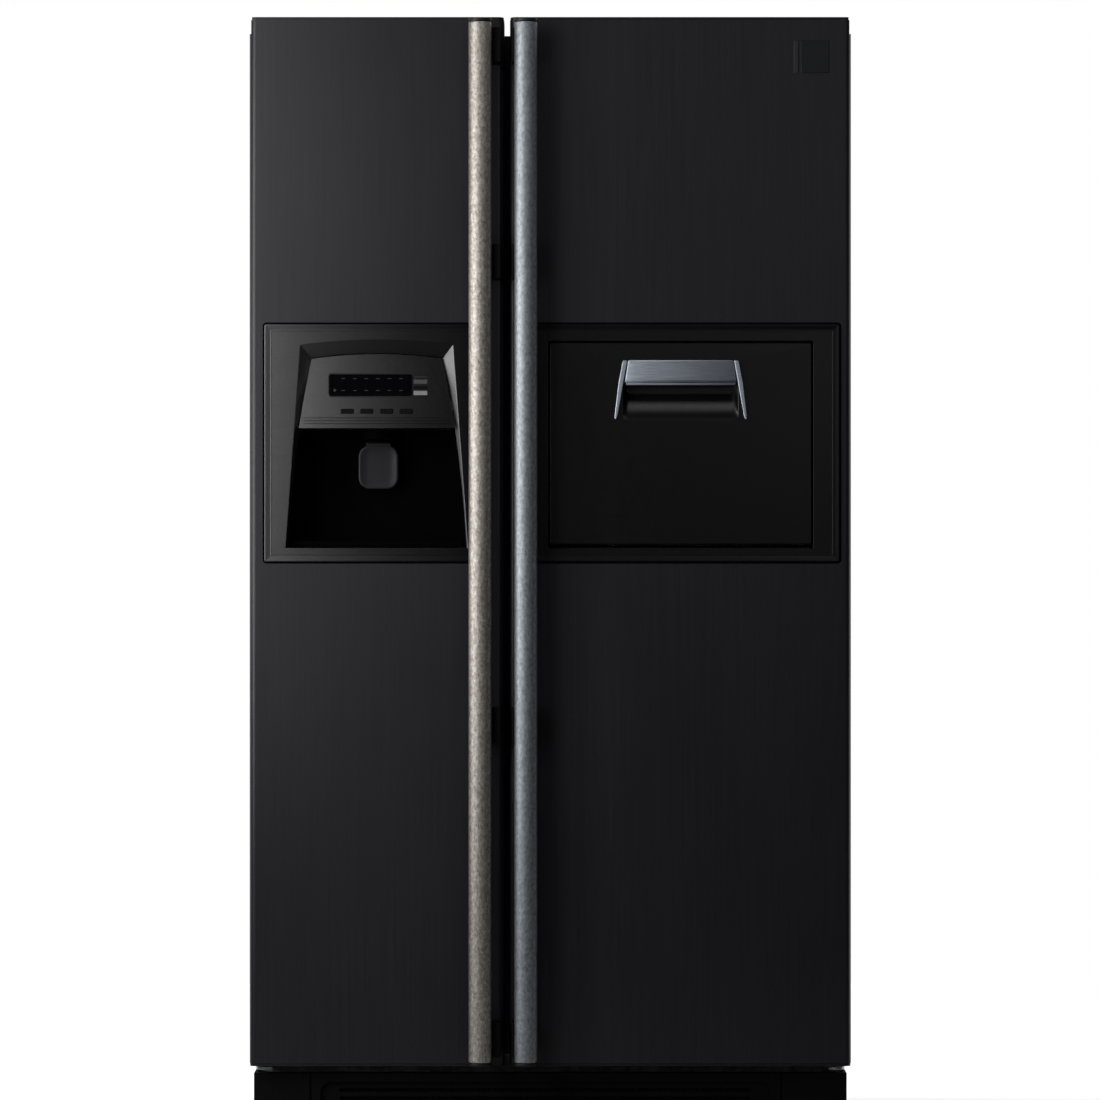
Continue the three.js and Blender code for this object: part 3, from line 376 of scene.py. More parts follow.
def rounded(a0, a1, b0, b1, radius, steps=6):
    """Points round a rectangle with rounded corners, as pairs (a, b)."""
    radius = max(radius, 1e-5)
    points = []
    corners = ((a1 - radius, b0 + radius, -90), (a1 - radius, b1 - radius, 0),
               (a0 + radius, b1 - radius, 90), (a0 + radius, b0 + radius, 180))
    for a, b, start in corners:
        for step in range(steps + 1):
            turn = math.radians(start + 90 * step / steps)
            points.append((a + radius * math.cos(turn), b + radius * math.sin(turn)))
    return points


def front_loop(x0, x1, z0, z1, radius, y, inset=0.0, steps=6):
    flat = rounded(x0 + inset, x1 - inset, z0 + inset, z1 - inset, radius - inset, steps)
    return [Vector((x, y, z)) for x, z in flat]


def plan_loop(x0, x1, y0, y1, radius, z, inset=0.0, steps=6):
    flat = rounded(x0 + inset, x1 - inset, y0 + inset, y1 - inset, radius - inset, steps)
    return [Vector((x, y, z)) for x, y in flat]


def levels(base, *steps):
    """(inset, place) pairs, from insets and distances past the base that are given in millimetres."""
    return [(inset * MM, base + along * MM) for inset, along in steps]


def front_relief(bm, rectangle, radius, profile, steps=6, **caps):
    """A form seen from the front: a rounded rectangle (x0, x1, z0, z1) through (inset, y) pairs."""
    return loft(bm, [front_loop(*rectangle, radius, y, inset, steps) for inset, y in profile], **caps)


def front_ring(bm, rectangle, radius, profile, steps=6):
    """A closed section of (inset, y) points carried round a rounded rectangle."""
    return loft(bm, [front_loop(*rectangle, radius, y, inset, steps) for inset, y in profile], closed=True)


def plan_relief(bm, rectangle, radius, profile, steps=6, **caps):
    """A form seen from above: a rounded rectangle (x0, x1, y0, y1) through (inset, z) pairs."""
    return loft(bm, [plan_loop(*rectangle, radius, z, inset, steps) for inset, z in profile], **caps)


def bar(bm, low, high, radius):
    """A straight bar with rounded edges, between two corners."""
    made = bmesh.ops.create_cube(bm, size=1)
    size = Vector(high) - Vector(low)
    middle = (Vector(high) + Vector(low)) / 2
    place = Matrix.Translation(middle) @ Matrix.Diagonal((*size, 1))
    bmesh.ops.transform(bm, matrix=place, verts=made["verts"])
    edges = {edge for vertex in made["verts"] for edge in vertex.link_edges}
    bmesh.ops.bevel(bm, geom=list(edges), offset=radius, segments=3, profile=0.5, affect="EDGES")


TURN_TO = {
    "x": Matrix.Rotation(math.radians(90), 4, "Y"),
    "y": Matrix.Rotation(math.radians(-90), 4, "X"),
    "z": Matrix.Identity(4),
}


def turned(bm, axis, centre, profile, sides=32, cap_first=True, cap_last=True):
    """A turned form: (radius, distance) points along the axis from the centre."""
    matrix = Matrix.Translation(centre) @ TURN_TO[axis]
    loops = []
    for radius, along in profile:
        turns = [2 * math.pi * side / sides for side in range(sides)]
        loops.append([matrix @ Vector((radius * math.cos(t), radius * math.sin(t), along)) for t in turns])
    return loft(bm, loops, cap_first, cap_last)


# ---- Finish on the CAD nodes -------------------------------------------------------------------------
def smooth_by_angle_group(limit):
    """Geometry nodes that drop the imported normals, shade smooth and keep edges over the limit crisp."""
    group = bpy.data.node_groups.new("smooth_by_angle", "GeometryNodeTree")
    group.interface.new_socket("Geometry", in_out="INPUT", socket_type="NodeSocketGeometry")
    group.interface.new_socket("Geometry", in_out="OUTPUT", socket_type="NodeSocketGeometry")
    tree = NodeTree(group)
    start = tree.node("NodeGroupInput")
    end = tree.node("NodeGroupOutput")
    angle = tree.node("GeometryNodeInputMeshEdgeAngle")
    below = tree.node("FunctionNodeCompare", data_type="FLOAT", operation="LESS_THAN")
    below.inputs[1].default_value = limit
    plain = tree.node("GeometryNodeRemoveAttribute")
    plain.inputs["Name"].default_value = "custom_normal"
    faces = tree.node("GeometryNodeSetShadeSmooth")
    edges = tree.node("GeometryNodeSetShadeSmooth", domain="EDGE")
    tree.link(start.outputs[0], plain.inputs["Geometry"])
    tree.link(plain.outputs[0], faces.inputs["Geometry"])
    tree.link(faces.outputs[0], edges.inputs["Geometry"])
    tree.link(angle.outputs["Unsigned Angle"], below.inputs[0])
    tree.link(below.outputs[0], edges.inputs["Shade Smooth"])
    tree.link(edges.outputs[0], end.inputs[0])
    return group


SMOOTH = smooth_by_angle_group(math.radians(35))
CAD_BEVELS = {
    "cabinet": 1.5 * MM,
    "door_panel": 3.2 * MM,
    "cap": 0.8 * MM,
    "hinge_cover": 2.5 * MM,
    "liner": 1.5 * MM,
    "surround": 2.2 * MM,
    "home_bar_flap": 1.2 * MM,
    "kickplate": 1.2 * MM,
    "mount": 1.5 * MM,
}
FINE_BEVEL = 0.5 * MM
UNBEVELLED = {"freezer_liner"}  # its folded walls don't stand a bevel


def finish_cad_node(node, slot):
    """Welds the node's facets, rounds its edges and gives it its material, all without touching its mesh."""
    piece = frame["nodes"][node]
    piece.material_slots[0].material = MATERIALS[slot].material
    weld = piece.modifiers.new("weld", "WELD")
    weld.merge_threshold = 0.00002
    if node not in UNBEVELLED:
        flatten = piece.modifiers.new("flatten", "DECIMATE")
        flatten.decimate_type = "DISSOLVE"
        flatten.angle_limit = math.radians(0.5)
        bevel = piece.modifiers.new("bevel", "BEVEL")
        bevel.width = next((width for key, width in CAD_BEVELS.items() if key in node), FINE_BEVEL)
        bevel.segments = 3
        bevel.limit_method = "ANGLE"
        bevel.angle_limit = math.radians(32)
    smooth = piece.modifiers.new("smooth", "NODES")
    smooth.node_group = SMOOTH
    flat_faces_rule(piece)


# Nodes drawn in another look than the one that carries their slot's name.
CAD_LOOKS = {
    "freezer_handle_bar": "satin_warm",
    "fridge_handle_bar": "satin_cool",
    "control_panel": "panel_silver",
    "kickplate": "matt_black",
    "freezer_handle_mount": "matt_black",
    "fridge_handle_mount": "matt_black",
}


def finish_cad_nodes():
    for part in frame["record"]["subparts"]:
        slot = part["material_slot"]
        finish_cad_node(part["node"], CAD_LOOKS.get(part["node"], slot))


# ---- Handles -----------------------------------------------------------------------------------------
BAR_CAP_HEIGHT = 6 * MM
BAR_EDGE_ROUND = 1.4 * MM
BAR_SECTION_STEPS = 28
BAR_BACK_TAPER = 4 * MM
BAR_FRONT_DEPTH = 13 * MM
BAR_SHELL_BACK = 0.8 * MM
BAR_SHELL_INSET = 0.3 * MM  # by how much the metal stands back from its end caps


def bar_section(low, high, z, shrink):
    """The metal shell's section at a height: a flattened round front on a short flat back."""
    middle = (low.x + high.x) / 2
    half = (high.x - low.x) / 2 - shrink
    shoulder = low.y + BAR_FRONT_DEPTH
    depth = BAR_FRONT_DEPTH - shrink
    points = []
    for step in range(BAR_SECTION_STEPS + 1):
        turn = math.pi * (1 + step / BAR_SECTION_STEPS)
        points.append(Vector((middle + half * math.cos(turn), shoulder + depth * math.sin(turn), z)))
    back = shoulder + BAR_SHELL_BACK - 0.5 * shrink
    return points + [Vector((middle + half, back, z)), Vector((middle - half, back, z))]


def core_section(low, high, z, shrink):
    """The black core behind the shell, which narrows towards the door."""
    middle = (low.x + high.x) / 2
    half = (high.x - low.x) / 2 - shrink
    front = low.y + BAR_FRONT_DEPTH + BAR_SHELL_BACK + 0.1 * MM
    corners = (
        (half - 0.3 * MM, front),
        (half - 0.3 * MM, front + 4 * MM),
        (half - BAR_BACK_TAPER, high.y - 1 * MM),
        (half - BAR_BACK_TAPER - 1 * MM, high.y - shrink),
    )
    right = [Vector((middle + x, y, z)) for x, y in corners]
    left = [Vector((middle - x, y, z)) for x, y in reversed(corners)]
    return right + left


def bar_length(bm, section, low, high, z0, z1, margin):
    """The section carried from z0 to z1, with both ends rounded over."""
    part = 0.3 * BAR_EDGE_ROUND
    ends = ((z0, BAR_EDGE_ROUND), (z0 + part, part), (z0 + BAR_EDGE_ROUND, 0.0))
    ends += tuple((z1 + z0 - z, shrink) for z, shrink in reversed(ends))
    loft(bm, [section(low, high, z, shrink + margin) for z, shrink in ends])


def build_handle(door, look):
    low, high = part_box(door + "_handle_bar")
    seam = 0.25 * MM
    foot = low.z + BAR_CAP_HEIGHT
    head = high.z - BAR_CAP_HEIGHT
    bm = bmesh.new()
    bar_length(bm, bar_section, low, high, foot + seam, head - seam, BAR_SHELL_INSET)
    make_piece(door + "_handle_grip", bm, look, door + "_door", replaces=[door + "_handle_bar"])
    bm = bmesh.new()
    bar_length(bm, bar_section, low, high, low.z, foot, 0.0)
    bar_length(bm, bar_section, low, high, head, high.z, 0.0)
    make_piece(door + "_handle_end_caps", bm, "black_plastic", door + "_door")
    bm = bmesh.new()
    bar_length(bm, core_section, low, high, low.z + 1 * MM, high.z - 1 * MM, 0.0)
    make_piece(door + "_handle_core", bm, "matt_black", door + "_door")


# ---- Dispenser ---------------------------------------------------------------------------------------
RIM_WIDTH = 11 * MM
RIM_PROUD = 1.6 * MM
SHADOW_LINE_WIDTH = 3.2 * MM


def build_rim(name, node, body, door_panel, look):
    """The bevelled border round the dispenser's or the home bar's face, with a fine line inside it."""
    low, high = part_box(node)
    rectangle = (low.x, high.x, low.z, high.z)
    face = low.y
    bm = bmesh.new()
    front_ring(bm, rectangle, 3 * MM, [
        *levels(face, (0, 1)),
        *levels(face - RIM_PROUD, (0, 0.8), (0.3, 0.2), (0.9, 0), (2.4, 0), (3.2, 0.4)),
        (RIM_WIDTH - 2.2 * MM, face - 0.35 * MM),
        (RIM_WIDTH - 1.4 * MM, face - 0.65 * MM),
        (RIM_WIDTH - 0.5 * MM, face - 0.6 * MM),
        (RIM_WIDTH, face - 0.1 * MM),
        (RIM_WIDTH, face + 1.0 * MM),
    ], steps=4)
    make_piece(name + "_rim", bm, look, body)

    # A thin near-black ring between the face and the door's skin is painted shadow: it stands for the shadow in
    # the gap all the way round and reads as a dark line.
    around = (low.x - SHADOW_LINE_WIDTH, high.x + SHADOW_LINE_WIDTH, low.z - SHADOW_LINE_WIDTH, high.z + SHADOW_LINE_WIDTH)
    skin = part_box(door_panel)[0].y
    bm = bmesh.new()
    front_ring(bm, around, 6 * MM, [
        *levels(skin, (0, 0.5), (0, -0.25), (0.4, -0.45)),
        (SHADOW_LINE_WIDTH - 0.1 * MM, skin - 0.45 * MM), (SHADOW_LINE_WIDTH - 0.1 * MM, skin + 0.5 * MM),
    ], steps=4)
    make_piece(name + "_seal", bm, "gap_shadow_black", body)


PANEL_AXIS = next(Vector(j["axis"]) for j in frame["joints"] if j["name"] == "key_1_press")


def panel_frame():
    """Takes (x, y, z) on the control panel, z up its slope and -y out of it, to the row frame."""
    low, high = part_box("control_panel")
    tilt = math.atan2(-PANEL_AXIS.z, PANEL_AXIS.y)
    thick = 5 * MM
    ledge = 2 * MM
    lip = Vector(((low.x + high.x) / 2, low.y + ledge, low.z + thick * math.sin(tilt)))
    return Matrix.Translation(lip) @ Matrix.Rotation(-tilt, 4, "X")


PANEL = panel_frame()
DISPLAY = (-75.5 * MM, 55 * MM, 51 * MM, 86 * MM)
LABEL_X = (57.5 * MM, 79 * MM)


def panel_piece(name, bm, look):
    bmesh.ops.transform(bm, matrix=PANEL, verts=bm.verts)
    return make_piece(name, bm, look, "freezer_door")


def build_display():
    bm = bmesh.new()
    front_ring(bm, DISPLAY, 4 * MM, levels(0, (-1.6, 0.5), (-1.6, -0.2), (-1, -0.6), (-0.2, -0.6), (0, 0.3)))
    panel_piece("display_bezel", bm, "black_plastic")
    bm = bmesh.new()
    front_relief(bm, DISPLAY, 4 * MM, levels(0, (0.1, 0.4), (0.1, -0.2), (0.6, -0.45)))
    panel_piece("display_window", bm, "display_glass")

    # Unlit indicator marks behind the window: two rows of short dashes and a corner lamp.
    x0, x1, z0, z1 = DISPLAY
    bm = bmesh.new()
    for column in range(6):
        x = x0 + (20 + 18 * column) * MM
        for z in (z1 - 7 * MM, z0 + 9 * MM):
            front_relief(bm, (x, x + 6 * MM, z - 0.7 * MM, z + 0.7 * MM), 0.7 * MM,
                         levels(0, (0, -0.4), (0.1, -0.55)), steps=3)
    front_relief(bm, (x0 + 7 * MM, x0 + 12 * MM, z0 + 7 * MM, z0 + 12 * MM), 2.4 * MM,
                 levels(0, (0, -0.4), (0.2, -0.6)))
    panel_piece("display_marks", bm, "faint_ink")


def build_label_bars():
    """Plain bars where the photographed object has printed words."""
    for name, look, z, height in (
        ("upper_label_bar", "dim_ink", 81 * MM, 1.6 * MM),
        ("middle_label_bar", "dim_ink", 70.5 * MM, 7 * MM),
        ("dark_label_bar", "key_plastic", 62.5 * MM, 4.5 * MM),
        ("lower_label_bar", "pale_ink", 52.5 * MM, 7 * MM),
    ):
        bm = bmesh.new()
        front_relief(bm, (*LABEL_X, z, z + height), 1.2 * MM,
                     levels(0, (0, 0.2), (0, -0.3), (0.4, -0.6)), steps=4)
        panel_piece(name, bm, look)


def build_panel_lines():
    """Fine ribs along the panel's lower lip."""
    low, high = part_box("control_panel")
    half = (high.x - low.x) / 2 - 6 * MM
    bm = bmesh.new()
    for z in (7.5 * MM, 12 * MM, 16.5 * MM):
        front_relief(bm, (-half, half, z - 0.7 * MM, z + 0.7 * MM), 0.6 * MM,
                     levels(0, (0, 0.2), (0, -0.2), (0.35, -0.55)), steps=3)
    panel_piece("panel_lines", bm, "dark_silver_plastic")
    bm = bmesh.new()
    low_edge = 0.3 * MM
    front_relief(bm, (-half - 4 * MM, half + 4 * MM, low_edge, 4.7 * MM), 0.8 * MM,
                 levels(0, (0, 0.2), (0, -1.4), (0.5, -1.9)), steps=3)
    # lip_trim paints a highlight on the lip's left end and shade towards its right.
    panel_piece("panel_lip", bm, "lip_trim")


def build_key_caps():
    """Crowned keys, square to the tilted panel, each on its own body."""
    for number in range(1, 5):
        node = f"function_key_{number}"
        low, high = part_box(node)
        middle = PANEL.inverted() @ ((low + high) / 2)
        half = Vector((10, 0, 3.5)) * MM
        rectangle = (middle.x - half.x, middle.x + half.x, middle.z - half.z, middle.z + half.z)
        bm = bmesh.new()
        front_relief(bm, rectangle, 1.6 * MM,
                     levels(0, (0, 7), (0, -0.3), (0.25, -0.7), (0.9, -0.95), (2.4, -1)), steps=5)
        bmesh.ops.transform(bm, matrix=PANEL, verts=bm.verts)
        make_piece(f"key_cap_{number}", bm, "key_plastic", f"key_{number}", replaces=[node])


def build_paddle():
    """The lever's pad: strongly rounded corners, thick edges and a dished face."""
    low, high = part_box("dispenser_lever")
    middle = (low.x + high.x) / 2
    top = high.z - 5 * MM
    back = high.y - 3 * MM
    front = low.y
    bm = bmesh.new()
    front_relief(bm, (low.x, high.x, low.z, top), 18 * MM, [
        *levels(back, (3, 0), (0.6, 0), (0, -1)),
        *levels(front, (0, 2), (0.7, 0.6), (2.2, 0), (4, 0.2), (8, 1.1), (15, 1.8)),
    ], steps=10)
    turned(bm, "x", (middle - 20 * MM, high.y - 4 * MM, high.z - 4 * MM),
           levels(0, (3, 0), (4, 1), (4, 39), (3, 40)), sides=24)
    make_piece("dispenser_paddle", bm, "paddle_plastic", "dispenser_lever", replaces=["dispenser_lever"])


def build_dispenser():
    build_rim("dispenser", "dispenser_surround", "freezer_door", "freezer_door_panel", "dark_silver_plastic")
    build_display()
    build_label_bars()
    build_panel_lines()
    build_key_caps()
    build_paddle()


# ---- Home bar ----------------------------------------------------------------------------------------
PLATE_HALF = 87 * MM
PLATE_HEIGHT = 34.5 * MM
PLATE_THICKNESS = 3.65 * MM
PLATE_BOW = 2.6 * MM
PLATE_TAPER = 0.062
BAR_OPENING_GAP = 1.8 * MM
BAR_OPENING_LOW_GAP = 7 * MM
SCOOP = {"half": 90 * MM, "low": 122 * MM, "high": 36 * MM, "depth": 20 * MM, "rise": 44 * MM}


def build_home_bar_grip():
    """A brushed plate with a rolled lower lip, between two legs that lean out down the recess."""
    low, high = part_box("home_bar_handle")
    middle = (low.x + high.x) / 2
    half = PLATE_HALF
    plate = (middle - half, middle + half, high.z - PLATE_HEIGHT, high.z)
    front = low.y

    def widen(z):
        """The plate is a little narrower at its top."""
        return 1 - PLATE_TAPER * (z - plate[2]) / (plate[3] - plate[2])

    bm = bmesh.new()
    sections = []
    spans = [-half] + [half * (step / 8 - 1) * 0.985 for step in range(17)] + [half]
    for x in spans:
        edge = 0.5 * MM if abs(x) == half else 0.0
        y = front + edge + PLATE_BOW * (x / half) ** 2
        back = front + PLATE_THICKNESS
        profile = [
            (plate[3] - edge, back), (plate[3] - edge, min(y + 0.9 * MM, back - 0.1 * MM)),
            (plate[3] - 1.2 * MM, y + 0.2 * MM), (plate[3] - 3 * MM, y),
            (plate[2] + 4 * MM, y), (plate[2] + 1.4 * MM, y + 0.3 * MM),
            (plate[2] + edge, min(y + 1.1 * MM, back - 0.1 * MM)), (plate[2] + edge, back),
        ]
        sections.append([Vector((middle + x * widen(z), y, z)) for z, y in profile])
    loft(bm, sections)
    # bright_trim paints shade that darkens the plate towards its right.
    make_piece("home_bar_plate", bm, "bright_trim", "home_bar_flap", replaces=["home_bar_handle"])

    bm = bmesh.new()
    lip = (plate[0] + 2 * MM, plate[1] - 2 * MM, plate[2] - 4.2 * MM, plate[2] - 0.6 * MM)
    front_relief(bm, lip, 1 * MM, levels(front, (0, 3.8), (0, 1.8), (0.6, 1.2)), steps=4)
    make_piece("home_bar_plate_lip", bm, "bright_trim", "home_bar_flap")

    bm = bmesh.new()
    for side in (-1, 1):
        sections = []
        # Height, then in mm the inner edge's distance from the middle and the leg's width.
        for z, x, width in (
            (high.z - 0.4 * MM, 84, 5), (high.z - 2 * MM, 83.6, 7), (high.z - 34 * MM, 89.4, 7.4),
            (low.z + 6 * MM, 98.4, 4.8), (low.z + 0.5 * MM, 100.5, 2.6),
        ):
            outline = rounded(x * MM, (x + width) * MM, front + 0.2 * MM, front + 3.7 * MM, 0.9 * MM, 3)
            sections.append([Vector((middle + side * a, y, z)) for a, y in outline])
        loft(bm, sections)
    make_piece("home_bar_legs", bm, "leg_trim", "home_bar_flap")


def build_home_bar_frame():
    """The flat black surround of the flap, with softly rounded inner and outer edges."""
    low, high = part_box("home_bar_frame")
    flap_low, flap_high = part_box("home_bar_flap")
    outer = (low.x, high.x, low.z, high.z)
    inner = (flap_low.x - BAR_OPENING_GAP, flap_high.x + BAR_OPENING_GAP,
             flap_low.z - BAR_OPENING_LOW_GAP, flap_high.z + BAR_OPENING_GAP)
    face, back = low.y, high.y
    round_off = 1.2 * MM
    part = 0.3 * round_off
    loops = [
        front_loop(*outer, 3 * MM, back),
        front_loop(*outer, 3 * MM, face + round_off),
        front_loop(*outer, 3 * MM, face + part, part),
        front_loop(*outer, 3 * MM, face, round_off),
        front_loop(*inner, 4 * MM, face, -round_off),
        front_loop(*inner, 4 * MM, face + part, -part),
        front_loop(*inner, 4 * MM, face + round_off),
        front_loop(*inner, 4 * MM, back),
    ]
    bm = bmesh.new()
    loft(bm, loops, closed=True)
    make_piece("home_bar_face", bm, "gloss_black", "fridge_door", replaces=["home_bar_frame"])

    # The flap's soft seal, just behind the frame, closes the gap round it to the eye; its near-black finish is
    # painted shadow for the gap.
    around = (flap_low.x, flap_high.x, flap_low.z, flap_high.z)
    reach = -1 * MM - BAR_OPENING_LOW_GAP - 4 * MM
    bm = bmesh.new()
    front_ring(bm, around, 4 * MM, [
        *levels(back, (-1, 1), (-1, 4)), (reach, back + 5 * MM), (reach, back + 0.4 * MM),
    ])
    make_piece("home_bar_seal", bm, "gap_shadow_black", "fridge_door")


def build_home_bar_flap():
    """The flap's skin, with a scoop for the fingers that slopes in from below to its deepest at the plate."""
    low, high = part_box("home_bar_flap")
    middle = (low.x + high.x) / 2
    edges = (low.x, high.x, low.z, high.z)
    face = low.y
    skin = levels(high.y, (1, 0), (0, -1)) + levels(face, (0, 3), (0.9, 0.9), (3, 0))
    loops = [front_loop(*edges, 4 * MM, y, inset) for inset, y in skin]
    mouth = (middle - SCOOP["half"], middle + SCOOP["half"], high.z - SCOOP["low"], high.z - SCOOP["high"])
    loops.append(front_loop(*mouth, 9 * MM, face, -1.2 * MM))
    for step in range(13):
        share = step / 12
        depth = SCOOP["depth"] * share * share * (2 - share)
        side = 5 * MM * share
        slope = SCOOP["rise"] * share
        loops.append(front_loop(mouth[0] + side, mouth[1] - side, mouth[2] + slope, mouth[3] - 0.5 * side,
                                9 * MM, face + 0.3 * MM + depth))
    bm = bmesh.new()
    loft(bm, loops)
    make_piece("home_bar_door", bm, "gloss_black", "home_bar_flap", replaces=["home_bar_flap"])


def build_home_bar():
    build_home_bar_frame()
    build_home_bar_flap()
    build_rim("home_bar", "home_bar_frame", "fridge_door", "fridge_door_panel", "gloss_black")
    build_home_bar_grip()


# ---- Base ---------------------------------------------------------------------------------------------
FILTER_BEHIND = 22 * MM
FILTER_MARGIN = 20 * MM
FILTER_PLEATS = 90
PLEAT_DEPTH = 4 * MM
FILTER_THICKNESS = 3 * MM


def build_air_filter():
    """The pleated black filter behind the kickplate's grille."""
    low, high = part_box("kickplate")
    y = low.y + FILTER_BEHIND
    width = high.x - low.x - 2 * FILTER_MARGIN
    bm = bmesh.new()
    front, back = [], []
    for step in range(2 * FILTER_PLEATS + 1):
        x = low.x + FILTER_MARGIN + width * step / (2 * FILTER_PLEATS)
        depth = PLEAT_DEPTH * (step % 2)
        front.append((x, y + depth))
        back.append((x, y + depth + FILTER_THICKNESS))
    loft(bm, [[Vector((x, y, z)) for x, y in front + back[::-1]] for z in (low.z + 4 * MM, high.z - 4 * MM)])
    make_piece("air_filter", bm, "black_rubber", "cabinet")


# ---- Badge -------------------------------------------------------------------------------------------
BADGE_FROM_RIGHT = 35 * MM
BADGE_FROM_TOP = 32 * MM
BADGE_HEIGHT = 51 * MM
BADGE_PLATE_WIDTH = 44 * MM
BADGE_BAR_REACH = (55 * MM, 48 * MM)  # of its two edges, from the plate's right edge


def build_badge():
    """A dull silver bar beside a plain dark plate, at the top corner of the fridge door."""
    low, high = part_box("fridge_door_panel")
    right = high.x - BADGE_FROM_RIGHT
    top = high.z - BADGE_FROM_TOP
    for name, look, x0, x1, radius in (
        ("badge_plate", "badge_plastic", right - BADGE_PLATE_WIDTH, right, 2.5 * MM),
        ("badge_bar", "badge_silver", *(right - reach for reach in BADGE_BAR_REACH), 1.5 * MM),
    ):
        bm = bmesh.new()
        front_relief(bm, (x0, x1, top - BADGE_HEIGHT, top), radius,
                     levels(low.y, (0, 0), (0, -0.6), (0.6, -1.1)), steps=4)
        make_piece(name, bm, look, "fridge_door")


# ---- Inside the cabinet ------------------------------------------------------------------------------
LINER_WALL = 2 * MM
SHELF_PLATE_UP = 6 * MM
SHELF_PLATE = 5 * MM
SHELF_TRIM_DEPTH = 14 * MM
COVER_SHELVES = {"freezer_drawer_cover": "freezer_liner", "crisper_cover": "fridge_liner"}
COVER_SHELF_Z = 524 * MM
RAIL_FRONT_Y = -95 * MM
CONTROL_BOX_Y = -106 * MM
LAMP_Y = {"freezer_liner": -20 * MM, "fridge_liner": 60 * MM}
# Heights of the ledges' upper faces, in mm.
RAIL_LEVELS = {
    "freezer_liner": (620, 752.5, 900, 1112.5, 1240),
    "fridge_liner": (620, 752.5, 890, 1030, 1170, 1312.5, 1450, 1590),
}
DUCT_Z = (560 * MM, 1290 * MM)
DUCT_HALF_WIDTH = 92 * MM
DUCT_PROUD = 16 * MM
DUCT_OUTLETS = (640 * MM, 860 * MM, 1020 * MM, 1200 * MM)
LAMP_HALF_WIDTH = 82 * MM
LAMP_HALF_DEPTH = 48 * MM
CONTROL_BOX_HALF_WIDTH = 140 * MM
CONTROL_BOX_HEIGHT = 44 * MM
DIAL_FROM_MIDDLE = 70 * MM
TICK_RADIUS = 16.5 * MM
ICE_MAKER_ABOVE_BIN = 16 * MM
ICE_MAKER_HEIGHT = 84 * MM


def build_shelf(name, low, high, replaces=()):
    """A glass plate in a white frame: a rounded front moulding, side rails and a rear upstand."""
    plate = low.z + SHELF_PLATE_UP
    bm = bmesh.new()
    plan_relief(bm, (low.x + 2 * MM, high.x - 2 * MM, low.y + 6 * MM, high.y - 3 * MM), 5 * MM,
                levels(plate, (0.8, 0), (0, 0.8)) + levels(plate + SHELF_PLATE, (0, -0.8), (0.8, 0)))
    make_piece(name + "_glass", bm, "shelf_glass", "cabinet", replaces=replaces)
    bm = bmesh.new()
    bar(bm, (low.x, low.y, low.z), (high.x, low.y + SHELF_TRIM_DEPTH, high.z), 3 * MM)
    bar(bm, (low.x, high.y - 10 * MM, plate - 2 * MM), (high.x, high.y, high.z), 1.5 * MM)
    rail_top = plate + SHELF_PLATE + 1 * MM
    for x in (low.x, high.x - 7 * MM):
        bar(bm, (x, low.y + 8 * MM, plate - 2 * MM), (x + 7 * MM, high.y - 6 * MM, rail_top), 1.2 * MM)
    make_piece(name + "_frame", bm, "white_liner", "cabinet")


def build_shelves():
    for node in ("freezer_shelf_lower", "freezer_shelf_upper", "fridge_shelf_lower", "fridge_shelf_upper"):
        low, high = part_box(node)
        build_shelf(node, low, high, [node])
    shelf_low, shelf_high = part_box("fridge_shelf_lower")
    z = COVER_SHELF_Z
    for name, liner in COVER_SHELVES.items():
        low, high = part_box(liner)
        inset = LINER_WALL + 0.6 * MM
        build_shelf(name, Vector((low.x + inset, shelf_low.y + 8 * MM, z)),
                    Vector((high.x - inset, shelf_high.y, z + shelf_high.z - shelf_low.z)))


def build_shelf_rails(liner):
    """Moulded ledges down both side walls, some of them spare."""
    low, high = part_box(liner)
    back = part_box("fridge_shelf_lower")[1].y
    bm = bmesh.new()
    for level in RAIL_LEVELS[liner]:
        z = level * MM
        for x0, x1 in ((low.x + LINER_WALL - 0.5 * MM, low.x + LINER_WALL + 8 * MM),
                       (high.x - LINER_WALL - 8 * MM, high.x - LINER_WALL + 0.5 * MM)):
            bar(bm, (x0, RAIL_FRONT_Y, z - 13 * MM), (x1, back - 15 * MM, z), 3 * MM)
    make_piece(liner + "_rails", bm, "white_liner", "cabinet")


def build_air_duct(liner):
    """The cover of the cold air duct up the rear wall, with louvred outlets."""
    low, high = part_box(liner)
    middle = (low.x + high.x) / 2
    wall = high.y - LINER_WALL
    face = wall - DUCT_PROUD
    bm = bmesh.new()
    front_relief(bm, (middle - DUCT_HALF_WIDTH, middle + DUCT_HALF_WIDTH, *DUCT_Z), 22 * MM,
                 levels(wall, (0, 0.5), (0, -9)) + levels(face, (1, 4), (4, 1), (8, 0)), steps=8)
    make_piece(liner + "_duct_cover", bm, "white_liner", "cabinet")
    wells, slats = bmesh.new(), bmesh.new()
    for z in DUCT_OUTLETS:
        front_relief(wells, (middle - 58 * MM, middle + 58 * MM, z, z + 38 * MM), 6 * MM,
                     levels(face, (0, 1), (0, -0.3), (0.6, -0.6)))
        for row in range(4):
            up = z + (4.5 + 8.5 * row) * MM
            bar(slats, (middle - 57 * MM, face - 2.2 * MM, up),
                (middle + 57 * MM, face - 0.3 * MM, up + 3.6 * MM), 0.7 * MM)
    make_piece(liner + "_duct_wells", wells, "gasket_rubber", "cabinet")
    make_piece(liner + "_duct_slats", slats, "white_liner", "cabinet")


